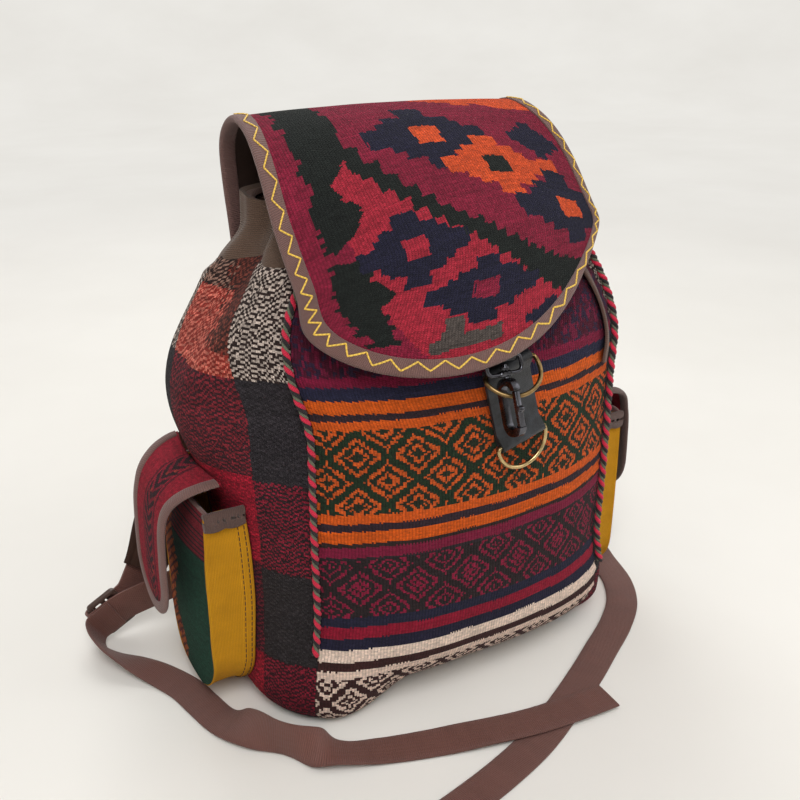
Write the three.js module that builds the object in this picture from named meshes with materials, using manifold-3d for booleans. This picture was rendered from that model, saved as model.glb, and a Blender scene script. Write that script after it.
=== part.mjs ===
// A soft drawstring backpack of woven wool cloth, standing upright and stuffed.
// Millimetres, +Z up. The front panel faces -Y and +X is the viewer's right.
// The origin is on the floor, under the middle of the bag.
import * as THREE from 'three';
import Module from 'manifold-3d';
import { mergeVertices } from 'three/addons/utils/BufferGeometryUtils.js';

const wasm = await Module();
wasm.setup();

// Clearance between pieces that touch.
const gap = 0.35;

// Bag body: a rounded section that changes with height.
const bodyHalfWidth = 150;
const leftBulge = 27;
const rightBulge = 7;
const bulgeHeight = 222;
const bulgeReach = 58;
const bulgeFrontY = -70;
const bulgeRun = 75;
const neckNarrowing = 14;
const narrowStart = 240;
const narrowRun = 85;
const frontDepth = 100;
const frontBelly = 3;
const bellyHeight = 150;
const bellyReach = 90;
const frontLean = 46;
const leanStart = 237;
const leanRun = 95;
const backDepth = 88;
const backLean = 4;
const frontRoundness = 2.2;
const footRoundness = 0.9;
const footRun = 95;
const backRoundness = 4;
const dentDepth = 30;
const dentCentreY = 15;
const dentReach = 30;
const dentStart = 225;
const dentRun = 100;
const bottomRadius = 20;
const tuckDepth = 50;
const tuckHeight = 60;
const tuckPower = 2.2;
const tuckLeftStart = -56;
const tuckLeftRun = 24;
const tuckRightEnd = 78;
const tuckRightRun = 22;
const clothThickness = 3;
const seamAngleLow = 58.3;
const seamAngleHigh = 67.5;
const seamTurnStart = 210;
const backSeamAngle = 122;
const frontTop = 294;
const leftTop = 316;
const rightTop = 302;
const backTop = 292;

// Neck collar, its casing and its drawstring.
const collarWall = 1.4;
const collarOverlap = 16;
const collarSlack = 1.5;
const collarDrawIn = 8;
const rimFront = 322;
const rimBack = 354;
const casingDepth = 19;
const drawstringRadius = 2.9;
const tailWidth = 12;
const tailThickness = 2.6;
const tailInside = 8.5;
const tailStand = 1.3;
const tailTop = 322;
const tailBottom = 230;

// Piping on the two front seams.
const pipingRadius = 2.6;
const pipingStand = 0.8;
const pipingLeanStand = 0.9;
const pipingBottom = 60;

// Lid flap: outline sizes along the cloth, and the side view of its middle line.
const flapRootHalfWidth = 102;
const flapRidgeHalfWidth = 110;
const flapFrontHalfWidth = 121;
const flapTipLength = 95;
const flapSkew = 0.13;
const flapDrift = 0.045;
const flapTipShift = 38;
const flapStraightRows = 18;
const flapTipRows = 6;
const flapFans = 14;
const flapSideView = [
  [91.5, 282], [91.8, 312], [90, 345], [80, 376], [55, 393], [25, 391.5], [-5, 379],
  [-35, 359], [-65, 333], [-93, 303], [-113.4, 279.5], [-123.4, 263],
];
const flapRidgePoint = 4;
const flapCloth = 2.2;
const flapLining = 1;
const flapDroop = 22;
const flapRidgeDroop = 4;
const flapFrontRadius = 195;
const flapRootCurve = 7;
const bindingWidth = 10;
const bindingWall = 0.9;
const bindingEase = 0.6;

// Closure: leather tab with two rings on the front, and a swivel hook under the lid.
const tabX = 15;
const tabWidth = 34;
const tabBottom = 203;
const tabRise = 53;
const tabLean = 15;
const leather = 2.6;
const ringWire = 1.6;
const ringHalfSpan = 19.5;
const ringDepth = 22;
const ringPlay = 0.4;
const loopWall = 1.8;
const upperRingLift = 54;
const hookBarAt = [-7, -113, 264];
const hookTilt = 22;
const hookThickness = 4.6;
const hookHeight = 36;
const hookDepth = 19;
const hookBar = 4.4;
const stemRadius = 1.7;
const bossRadius = 4.2;
const bossHeight = 4.5;
const stemHead = 2.9;
const eyeHalfWidth = 12.5;
const eyeHeight = 11;
const eyeWire = 1.5;
const flapTabWidth = 15;

// Side pockets.
const pocketCentreY = 15;
const pocketHalfWidth = 47;
const pocketBottom = 12;
const pocketTop = 160;
const pocketCorner = 34;
const leftPocketStand = 23;
const rightPocketStand = 14;
const pocketBulge = 9;
const pocketWall = 2;
const mouthBand = 11;
const mouthRoot = 3;
const pocketFlapRoot = 178;
const pocketFlapRootHalf = 46;
const pocketFlapHalf = 33;
const pocketFlapTip = 72;
const pocketFlapCloth = 2;
const tongueFans = 10;
const tongueStraightRows = 9;
const tongueTipRows = 4;

// Carrying straps on the back.
const webbingWidth = 25;
const webbingThickness = 1.8;
const padWidth = 52;
const padThickness = 9;
const patchHalfWidth = 62;
const patchBottom = 226;
const patchTop = 276;
const patchThickness = 2.4;
const lockLength = 25;
const lockWidth = 33;
const lockThickness = 4;
const lockBar = 3.6;

const colours = {
  frontCloth: 0x7a2b35, sideCloth: 0x5a2a33, backCloth: 0x3c2a28, baseCloth: 0x3a2723,
  piping: 0xc81e3c, collar: 0x6a5a4c, cord: 0x5a463c, flap: 0x9c2c3a, lining: 0x2a1a1c,
  binding: 0x6b4e4a, leather: 0x1e2123, brass: 0x967d50, hook: 0x19191c, pocket: 0x1a4637,
  yellow: 0xc88e1e, pocketFlap: 0x821e2d, webbing: 0x603e37, pad: 0x3c2a24, plastic: 0x141414,
};

function finish(colour, roughness, metalness) {
  return new THREE.MeshStandardMaterial({ color: colour, roughness, metalness });
}

const materials = {
  frontCloth: finish(colours.frontCloth, 0.95, 0),
  sideCloth: finish(colours.sideCloth, 0.95, 0),
  backCloth: finish(colours.backCloth, 0.95, 0),
  baseCloth: finish(colours.baseCloth, 0.95, 0),
  piping: finish(colours.piping, 0.9, 0),
  collar: finish(colours.collar, 0.85, 0),
  cord: finish(colours.cord, 0.9, 0),
  flap: finish(colours.flap, 0.95, 0),
  lining: finish(colours.lining, 0.9, 0),
  binding: finish(colours.binding, 0.85, 0),
  leather: finish(colours.leather, 0.5, 0),
  brass: finish(colours.brass, 0.35, 1),
  hook: finish(colours.hook, 0.25, 0.8),
  pocket: finish(colours.pocket, 0.95, 0),
  yellow: finish(colours.yellow, 0.9, 0),
  pocketFlap: finish(colours.pocketFlap, 0.95, 0),
  webbing: finish(colours.webbing, 0.85, 0),
  pad: finish(colours.pad, 0.9, 0),
  plastic: finish(colours.plastic, 0.4, 0),
};

const backpack = new THREE.Group();

function add(name, geometry, material, parent = backpack) {
  const mesh = new THREE.Mesh(geometry, material);
  mesh.name = name;
  parent.add(mesh);
  return mesh;
}

const radians = (degrees) => (degrees * Math.PI) / 180;

function smooth(value) {
  const t = Math.min(1, Math.max(0, value));
  return t * t * (3 - 2 * t);
}

function spread(count, from, to) {
  return Array.from({ length: count + 1 }, (_, i) => from + ((to - from) * i) / count);
}

// The body's section at one height, as half-sizes.
function sectionAt(z) {
  const belly = frontBelly * Math.exp(-(((z - bellyHeight) / bellyReach) ** 2));
  return {
    side: bodyHalfWidth - neckNarrowing * smooth((z - narrowStart) / narrowRun),
    front: frontDepth + belly - frontLean * smooth((z - leanStart) / leanRun),
    back: backDepth - backLean * smooth((z - leanStart) / leanRun),
    power: frontRoundness + footRoundness * (1 - smooth(z / footRun)),
  };
}

// How far the stuffed sides swell out, less the fold drawn in near the neck.
function sideSwell(x, y, z) {
  const swell = (x < 0 ? leftBulge : rightBulge) * Math.exp(-(((z - bulgeHeight) / bulgeReach) ** 2));
  const behindSeam = smooth((y - bulgeFrontY) / bulgeRun);
  const dent = dentDepth * smooth((z - dentStart) / dentRun) * Math.exp(-(((y - dentCentreY) / dentReach) ** 2));
  const facing = (Math.abs(x) / Math.hypot(x, y)) ** 3;
  return Math.sign(x) * facing * (swell * behindSeam - dent);
}

// A point of the body's skin: angle 0 is the front, 90 is +X and 180 is the back.
// How far the front's foot turns under the bag, inwards from the section.
function tuckAt(angle, z) {
  const signed = angle > 180 ? angle - 360 : angle;
  const round = signed < 0
    ? smooth((signed - tuckLeftStart) / tuckLeftRun)
    : smooth((tuckRightEnd - signed) / tuckRightRun);
  return tuckDepth * round * Math.max(0, 1 - Math.max(0, z) / tuckHeight) ** tuckPower;
}

function bodyPoint(angle, z, inset) {
  const section = sectionAt(z);
  const sin = Math.sin(radians(angle));
  const cos = Math.cos(radians(angle));
  const depth = (cos > 0 ? section.front - tuckAt(angle, z) : section.back) - inset;
  const power = cos > 0 ? section.power : backRoundness;
  const across = Math.abs(sin) / (section.side - inset);
  const along = Math.abs(cos) / depth;
  const reach = (across ** power + along ** power) ** (-1 / power);
  const y = -reach * cos;
  const x = reach * sin;
  return new THREE.Vector3(x + sideSwell(x, y, z), y, z);
}

// The skin's place across at one depth, height and side of the bag, as a half-width.
function bodySideX(y, z, side) {
  const section = sectionAt(z);
  const depth = y < 0 ? section.front : section.back;
  const power = y < 0 ? section.power : backRoundness;
  const x = section.side * (1 - Math.abs(y / depth) ** power) ** (1 / power);
  return x + Math.abs(sideSwell(side * x, y, z));
}

// The skin's front depth at one place across and one height.
function bodyFrontY(x, z) {
  const section = sectionAt(z);
  return -section.front * (1 - Math.abs(x / section.side) ** section.power) ** (1 / section.power);
}

// The skin's back depth at one place across and one height.
function bodyBackY(x, z) {
  const section = sectionAt(z);
  return section.back * (1 - Math.abs(x / section.side) ** backRoundness) ** (1 / backRoundness);
}

// Height and inset along the cloth, from the edge under the bag up its wall.
function upTheWall(run, inward) {
  const turn = (bottomRadius * Math.PI) / 2;
  if (run >= turn) {
    return { z: bottomRadius + run - turn, inset: inward };
  }
  const angle = run / bottomRadius;
  return {
    z: bottomRadius - (bottomRadius - inward) * Math.cos(angle),
    inset: bottomRadius - (bottomRadius - inward) * Math.sin(angle),
  };
}

// The height where each panel's cloth ends, by angle.
function clothTop(angle) {
  const turned = angle > 180 ? angle - 360 : angle;
  const round = Math.abs(turned);
  const side = turned < 0 ? leftTop : rightTop;
  if (round < 90) {
    return frontTop + (side - frontTop) * smooth((round - 30) / 45);
  }
  return side + (backTop - side) * smooth((round - 90) / 40);
}

// The front seams lean outwards where the body narrows.
function frontSeam(z) {
  const turned = smooth((z - seamTurnStart) / (frontTop - seamTurnStart));
  return seamAngleLow + (seamAngleHigh - seamAngleLow) * turned;
}

function geometryOf(points, faces) {
  const geometry = new THREE.BufferGeometry();
  geometry.setAttribute('position', new THREE.Float32BufferAttribute(points.flatMap((p) => p.toArray()), 3));
  geometry.setIndex(faces.flat());
  return geometry;
}

// Six times the enclosed volume, positive where the faces point outwards.
function signedVolume(points, faces) {
  let sum = 0;
  const cross = new THREE.Vector3();
  for (const [a, b, c] of faces) {
    cross.crossVectors(points[b], points[c]);
    sum += points[a].dot(cross);
  }
  return sum;
}

function outward(points, faces) {
  if (signedVolume(points, faces) < 0) {
    return geometryOf(points, faces.map(([a, b, c]) => [a, c, b]));
  }
  return geometryOf(points, faces);
}

// A closed sheet of cloth between an outer and an inner grid of points.
function sheet(columns, rows, outer, inner) {
  const points = [];
  const faces = [];
  const wide = columns.length;
  const tall = rows.length;
  for (const side of [outer, inner]) {
    for (const column of columns) {
      for (const row of rows) {
        points.push(side(column, row));
      }
    }
  }
  const at = (layer, i, j) => layer * wide * tall + i * tall + j;
  const quad = (a, b, c, d) => faces.push([a, b, c], [a, c, d]);
  for (let i = 0; i + 1 < wide; i += 1) {
    for (let j = 0; j + 1 < tall; j += 1) {
      quad(at(0, i, j), at(0, i + 1, j), at(0, i + 1, j + 1), at(0, i, j + 1));
      quad(at(1, i, j), at(1, i, j + 1), at(1, i + 1, j + 1), at(1, i + 1, j));
    }
  }
  for (let i = 0; i + 1 < wide; i += 1) {
    quad(at(0, i + 1, 0), at(0, i, 0), at(1, i, 0), at(1, i + 1, 0));
    quad(at(0, i, tall - 1), at(0, i + 1, tall - 1), at(1, i + 1, tall - 1), at(1, i, tall - 1));
  }
  for (let j = 0; j + 1 < tall; j += 1) {
    quad(at(0, 0, j), at(0, 0, j + 1), at(1, 0, j + 1), at(1, 0, j));
    quad(at(0, wide - 1, j + 1), at(0, wide - 1, j), at(1, wide - 1, j), at(1, wide - 1, j + 1));
  }
  return outward(points, faces);
}

// A closed section carried along stations; place(station, corner) gives each point.
function sweep(stations, corners, place, closed = false) {
  const points = [];
  const faces = [];
  const count = corners.length;
  const drawn = corners.map(([u, v]) => new THREE.Vector2(u, v));
  const turned = !closed && THREE.ShapeUtils.isClockWise(drawn);
  const section = turned ? [...corners].reverse() : corners;
  for (const station of stations) {
    for (const corner of section) {
      points.push(place(station, corner));
    }
  }
  const rings = stations.length;
  const last = closed ? rings : rings - 1;
  for (let i = 0; i < last; i += 1) {
    const next = (i + 1) % rings;
    for (let k = 0; k < count; k += 1) {
      const side = (k + 1) % count;
      faces.push([i * count + k, next * count + k, next * count + side]);
      faces.push([i * count + k, next * count + side, i * count + side]);
    }
  }
  if (!closed) {
    const outline = section.map(([u, v]) => new THREE.Vector2(u, v));
    for (const [a, b, c] of THREE.ShapeUtils.triangulateShape(outline, [])) {
      const end = (rings - 1) * count;
      faces.push([a, b, c]);
      faces.push([end + a, end + c, end + b]);
    }
  }
  return outward(points, faces);
}

function roundSection(radius, sides) {
  return spread(sides, 0, 2 * Math.PI).slice(0, -1).map((a) => [radius * Math.cos(a), radius * Math.sin(a)]);
}

function flatSection(width, thickness) {
  const w = width / 2;
  const t = thickness / 2;
  return [[-w, -t], [w, -t], [w, t], [-w, t]];
}

// A strap whose width direction is given at each point of its middle line.
function ribbon(line, widthWays, width, thickness, steps) {
  const path = new THREE.CatmullRomCurve3(line, false, 'centripetal');
  const ways = new THREE.CatmullRomCurve3(widthWays, false, 'centripetal');
  const stations = spread(steps, 0, 1).map((t) => {
    const along = path.getTangent(t);
    const across = ways.getPoint(t);
    across.addScaledVector(along, -across.dot(along)).normalize();
    const face = new THREE.Vector3().crossVectors(along, across).normalize();
    return { middle: path.getPoint(t), across, face };
  });
  return sweep(stations, flatSection(width, thickness), (s, [u, v]) => (
    s.middle.clone().addScaledVector(s.across, u).addScaledVector(s.face, v)));
}

// A closed wire loop in the plane of two directions.
function wireLoop(outline, normal, radius, sides) {
  const count = outline.length;
  const stations = outline.map((middle, i) => {
    const before = outline[(i + count - 1) % count];
    const after = outline[(i + 1) % count];
    const along = after.clone().sub(before).normalize();
    return { middle, out: new THREE.Vector3().crossVectors(along, normal).normalize() };
  });
  return sweep(stations, roundSection(radius, sides), (s, [u, v]) => (
    s.middle.clone().addScaledVector(s.out, u).addScaledVector(normal, v)), true);
}

function solidOf(geometry) {
  const bare = geometry.clone();
  bare.deleteAttribute('normal');
  bare.deleteAttribute('uv');
  const merged = mergeVertices(bare, 1e-4);
  return new wasm.Manifold(new wasm.Mesh({
    numProp: 3,
    vertProperties: new Float32Array(merged.attributes.position.array),
    triVerts: new Uint32Array(merged.index.array),
  }));
}

function geometryFrom(solid) {
  const mesh = solid.getMesh();
  const geometry = new THREE.BufferGeometry();
  geometry.setAttribute('position', new THREE.Float32BufferAttribute(mesh.vertProperties, 3));
  geometry.setIndex(Array.from(mesh.triVerts));
  return geometry;
}

// Extrudes a shape drawn in (Y, Z) along X, centred on X.
function extrudeAcross(shape, width, curveSegments = 8) {
  const geometry = new THREE.ExtrudeGeometry(shape, { depth: width, bevelEnabled: false, curveSegments });
  geometry.translate(0, 0, -width / 2);
  geometry.applyMatrix4(new THREE.Matrix4().makeBasis(
    new THREE.Vector3(0, 1, 0), new THREE.Vector3(0, 0, 1), new THREE.Vector3(1, 0, 0)));
  return geometry;
}

// The four upright panels, cut apart at the seams.
const frontColumns = 16;
const sideColumns = 12;
const backColumns = 12;
const wallRows = 15;
const seamGap = 0.1;

function upright(fromSeam, toSeam, columnCount) {
  const rows = spread(wallRows, 0, 1);
  const turn = (bottomRadius * Math.PI) / 2;
  const place = (inward) => (share, row) => {
    const from = fromSeam(frontTop) + seamGap;
    const nominal = from + (toSeam(frontTop) - seamGap - from) * share;
    const { z, inset } = upTheWall(row * (turn + clothTop(nominal) - bottomRadius), inward);
    const start = fromSeam(z) + seamGap;
    return bodyPoint(start + (toSeam(z) - seamGap - start) * share, z, inset);
  };
  return sheet(spread(columnCount, 0, 1), rows, place(0), place(clothThickness));
}

function buildPanels() {
  const rightFront = (z) => frontSeam(z);
  const leftFront = (z) => -frontSeam(z);
  const rightBack = () => backSeamAngle;
  const leftBack = () => -backSeamAngle;
  add('front_panel', upright(leftFront, rightFront, frontColumns), materials.frontCloth);
  add('right_side_panel', upright(rightFront, rightBack, sideColumns), materials.sideCloth);
  add('left_side_panel', upright(leftBack, leftFront, sideColumns), materials.sideCloth);
  add('back_panel', upright(rightBack, () => 360 - backSeamAngle, backColumns), materials.backCloth);
}

// Angles all round the bag that fall on the panels' own columns at one height.
function roundStations(z) {
  const seam = frontSeam(z);
  return [
    ...spread(frontColumns, -seam, seam).slice(1),
    ...spread(sideColumns, seam, backSeamAngle).slice(1),
    ...spread(backColumns, backSeamAngle, 360 - backSeamAngle).slice(1),
    ...spread(sideColumns, 360 - backSeamAngle, 360 - seam).slice(1),
  ];
}

function buildBase() {
  const edge = roundStations(0).map((angle) => bodyPoint(angle, 0, bottomRadius + gap));
  const shape = new THREE.Shape(edge.map((p) => new THREE.Vector2(p.x, p.y)));
  add('base_panel', new THREE.ExtrudeGeometry(shape, { depth: clothThickness, bevelEnabled: false }),
    materials.baseCloth);
}

function buildPiping() {
  for (const [side, sign] of [['left', -1], ['right', 1]]) {
    const line = spread(24, pipingBottom, clothTop(sign * seamAngleHigh) - 2).map((z) => (
      bodyPoint(sign * frontSeam(z), z, -pipingRadius - pipingStand
        - pipingLeanStand * smooth((z - 250) / 30))));
    const outline = new THREE.Shape(roundSection(pipingRadius, 8).map(([u, v]) => new THREE.Vector2(u, v)));
    const geometry = new THREE.ExtrudeGeometry(outline, {
      steps: 24, bevelEnabled: false, extrudePath: new THREE.CatmullRomCurve3(line),
    });
    add(`${side}_piping`, geometry, materials.piping);
  }
}

// The neck: a light collar inside the panels, its rim folded over as a casing.
function rimHeight(angle) {
  return rimFront + ((rimBack - rimFront) * (1 - Math.cos(radians(angle)))) / 2;
}

function neckPoint(angle, z, inward) {
  const drawIn = collarDrawIn * smooth((z - clothTop(angle)) / 25);
  return bodyPoint(angle, z, clothThickness + collarSlack + drawIn + inward);
}

function buildNeck() {
  const stations = roundStations(frontTop);
  const outerFold = collarWall * 2 + drawstringRadius * 2 + 2 * gap;
  const fold = outerFold / 2;
  const arc = spread(4, 0, Math.PI);
  const corners = [
    [0, 'bottom'],
    [0, 'middle'],
    ...arc.map((a) => [fold - fold * Math.cos(a), -fold + fold * Math.sin(a)]),
    [outerFold, -casingDepth],
    [outerFold - collarWall, -casingDepth],
    ...arc.map((a) => [
      fold + (fold - collarWall) * Math.cos(a), -fold + (fold - collarWall) * Math.sin(a)]),
    [collarWall, 'middle'],
    [collarWall, 'bottom'],
  ];
  const place = (angle, [inward, level]) => {
    const levels = { bottom: clothTop(angle) - collarOverlap, middle: clothTop(angle) + 1 };
    return neckPoint(angle, levels[level] ?? rimHeight(angle) + level, inward);
  };
  add('neck_collar', sweep(stations, corners, place, true), materials.collar);
  const cord = roundSection(drawstringRadius, 6);
  const string = (angle, [u, v]) => neckPoint(angle, rimHeight(angle) - fold + v, fold + u);
  add('drawstring', sweep(stations, cord, string, true), materials.cord);
}

// The loose end of the drawstring tape, folded double, beside the right front seam.
function buildDrawstringTail() {
  const lift = tailThickness / 2 + gap;
  const stations = spread(14, 0, 1).map((t) => {
    const z = tailTop + (tailBottom - tailTop) * t;
    const angle = frontSeam(z) - tailInside;
    const overCloth = smooth((clothTop(angle) + 14 - z) / 9);
    const stand = lift + tailStand * smooth((z - 260) / 20);
    return { z, angle, skin: overCloth * stand - (1 - overCloth) * (clothThickness - stand) };
  });
  const place = ({ z, angle, skin }, [u, v]) => {
    const turn = (u / 125) * (180 / Math.PI);
    return bodyPoint(angle + turn, z, -skin - v);
  };
  add('drawstring_tail', sweep(stations, flatSection(tailWidth, tailThickness), place), materials.cord);
}

// The lid's middle line from its seam on the back, over the ridge, to its tip.
const flapLine = new THREE.CatmullRomCurve3(
  flapSideView.map(([y, z]) => new THREE.Vector3(0, y, z)), false, 'centripetal');
flapLine.arcLengthDivisions = 600;
const flapLength = flapLine.getLength();

// Where along the line a point of its side view lies.
function lineRun(index) {
  const lengths = flapLine.getLengths(600);
  return lengths[Math.round((600 * index) / (flapSideView.length - 1))];
}

const flapRidge = lineRun(flapRidgePoint);
const flapStraight = flapLength - flapTipLength;

// A point of the lid's outer cloth: across and along are measured on the flat cloth.
function flapSurface(across, along) {
  const forward = Math.max(0, along - flapRidge);
  const turned = smooth(forward / 90);
  const past = smooth((along - flapStraight) / flapTipLength);
  const x = across + flapDrift * forward - flapTipShift * past;
  const run = Math.min(1, Math.max(0, (along - flapSkew * across * turned) / flapLength));
  const extra = Math.max(0, along - flapSkew * across * turned - flapLength);
  const point = flapLine.getPointAt(run);
  point.addScaledVector(flapLine.getTangentAt(run), extra);
  const share = forward / (flapLength - flapRidge);
  const front = smooth((share - 0.2) / 0.8);
  const droop = flapRidgeDroop + flapDroop * Math.sin(Math.PI * Math.min(1, share * 1.05)) ** 2;
  const settle = smooth(along / 40);
  const behind = 1 - smooth((along - 40) / (flapRidge - 40));
  point.x = x;
  point.y += front * (flapFrontRadius - Math.sqrt(flapFrontRadius ** 2 - x ** 2));
  point.y -= behind * flapRootCurve * (x / flapRidgeHalfWidth) ** 2;
  point.z -= settle * droop * (x / flapFrontHalfWidth) ** 2;
  return point;
}

function flapPoint(across, along, off) {
  const step = 0.5;
  const inside = Math.max(step, along);
  const du = flapSurface(across + step, inside).sub(flapSurface(across - step, inside));
  const dv = flapSurface(across, inside + step).sub(flapSurface(across, inside - step));
  const normal = new THREE.Vector3().crossVectors(dv, du).normalize();
  return flapSurface(across, along).addScaledVector(normal, off);
}

function flapHalfWidth(along) {
  const behind = flapRootHalfWidth + (flapRidgeHalfWidth - flapRootHalfWidth) * smooth(along / flapRidge);
  const wider = (flapFrontHalfWidth - flapRidgeHalfWidth) * smooth((along - flapRidge) / 90);
  return behind + wider;
}

// Rows run straight across, then fan out so that the rounded tip has no thin faces.
function flapGrid(fan, row) {
  const straight = Math.min(1, row / flapStraightRows) * flapStraight;
  const past = Math.max(0, row - flapStraightRows) / flapTipRows;
  const along = straight + past * flapTipLength * Math.cos(radians(fan));
  return [Math.sin(radians(fan)) * flapHalfWidth(along), along];
}

function buildFlapSheets() {
  const fans = spread(flapFans, -90, 90);
  const rows = spread(flapStraightRows + flapTipRows, 0, flapStraightRows + flapTipRows);
  const layer = (off) => (fan, row) => flapPoint(...flapGrid(fan, row), off);
  add('flap_cloth', sheet(fans, rows, layer(flapCloth), layer(0)), materials.flap);
  add('flap_lining', sheet(fans, rows, layer(-gap), layer(-gap - flapLining)), materials.lining);
}

// The lid's edge, as stations with a point and the way in, on the flat cloth.
function flapEdge() {
  const stations = [];
  for (const along of spread(flapStraightRows, 0, flapStraight)) {
    stations.push({ at: [-flapHalfWidth(along), along], inward: [1, 0] });
  }
  for (const fan of spread(flapFans, -90, 90).slice(1, -1)) {
    const a = radians(fan);
    const at = [flapFrontHalfWidth * Math.sin(a), flapStraight + flapTipLength * Math.cos(a)];
    const inward = [-Math.sin(a) / flapFrontHalfWidth, -Math.cos(a) / flapTipLength];
    const size = Math.hypot(...inward);
    stations.push({ at, inward: inward.map((v) => v / size) });
  }
  for (const along of spread(flapStraightRows, flapStraight, 0)) {
    stations.push({ at: [flapHalfWidth(along), along], inward: [-1, 0] });
  }
  return stations;
}

function bindingSection(low, high, width) {
  const wall = bindingWall;
  const ease = bindingEase;
  return [
    [-ease - wall, low - ease - wall], [width, low - ease - wall], [width, low - ease], [-ease, low - ease],
    [-ease, high + ease], [width, high + ease], [width, high + ease + wall], [-ease - wall, high + ease + wall],
  ];
}

function buildFlapBinding() {
  const low = -gap - flapLining;
  const place = ({ at, inward }, [u, v]) => flapPoint(at[0] + inward[0] * u, at[1] + inward[1] * u, v);
  add('flap_binding', sweep(flapEdge(), bindingSection(low, flapCloth, bindingWidth), place), materials.binding);
}

// A D-shaped ring: its bar lies along X at the origin and its bow hangs down -Z.
function dRing() {
  const outline = [];
  for (const x of spread(4, -ringHalfSpan, ringHalfSpan)) {
    outline.push(new THREE.Vector3(x, 0, 0));
  }
  for (const a of spread(18, 0, Math.PI).slice(1, -1)) {
    outline.push(new THREE.Vector3(ringHalfSpan * Math.cos(a), 0, -ringDepth * Math.sin(a) ** 0.85));
  }
  return wireLoop(outline, new THREE.Vector3(0, 1, 0), ringWire, 8);
}

// The tab's frame: a point on the front panel, turned to face the way the cloth does.
function frontSpot(x, z) {
  const group = new THREE.Group();
  const step = 4;
  const slope = (bodyFrontY(x + step, z) - bodyFrontY(x - step, z)) / (2 * step);
  group.position.set(x, bodyFrontY(x, z), z);
  group.rotation.z = Math.atan(slope);
  backpack.add(group);
  return group;
}

function buildClosureTab() {
  const spot = frontSpot(tabX, tabBottom);
  spot.rotateY(radians(-tabLean));
  const stand = 2 * gap;
  const barRadius = ringWire + ringPlay;
  const loopRadius = barRadius + loopWall;
  const loopY = -stand - loopRadius;
  const shape = new THREE.Shape();
  shape.moveTo(-stand, 0);
  shape.lineTo(-stand, tabRise);
  shape.absarc(loopY, tabRise, loopRadius, 0, Math.PI, false);
  shape.lineTo(loopY - loopRadius, tabRise - 1);
  shape.lineTo(-stand - leather, tabRise - 9);
  shape.lineTo(-stand - leather, 9);
  shape.lineTo(loopY - loopRadius, 1);
  shape.lineTo(loopY - loopRadius, 0);
  shape.absarc(loopY, 0, loopRadius, Math.PI, 2 * Math.PI, false);
  for (const z of [tabRise, 0]) {
    const hole = new THREE.Path();
    hole.absarc(loopY, z, barRadius, 0, 2 * Math.PI, true);
    shape.holes.push(hole);
  }
  add('closure_tab', extrudeAcross(shape, tabWidth, 10), materials.leather, spot);
  const lower = add('lower_ring', dRing(), materials.brass, spot);
  lower.position.set(0, loopY, 0);
  const upper = add('upper_ring', dRing(), materials.brass, spot);
  upper.position.set(0, loopY, tabRise);
  upper.rotation.x = radians(-upperRingLift);
}


function roundedLoop(halfWide, halfTall, corner, steps) {
  const points = [];
  for (const [sx, sz, from] of [[1, 1, 0], [-1, 1, 90], [-1, -1, 180], [1, -1, 270]]) {
    for (const a of spread(steps, from, from + 90)) {
      points.push([
        sx * (halfWide - corner) + corner * Math.cos(radians(a)),
        sz * (halfTall - corner) + corner * Math.sin(radians(a))]);
    }
  }
  return points;
}

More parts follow.
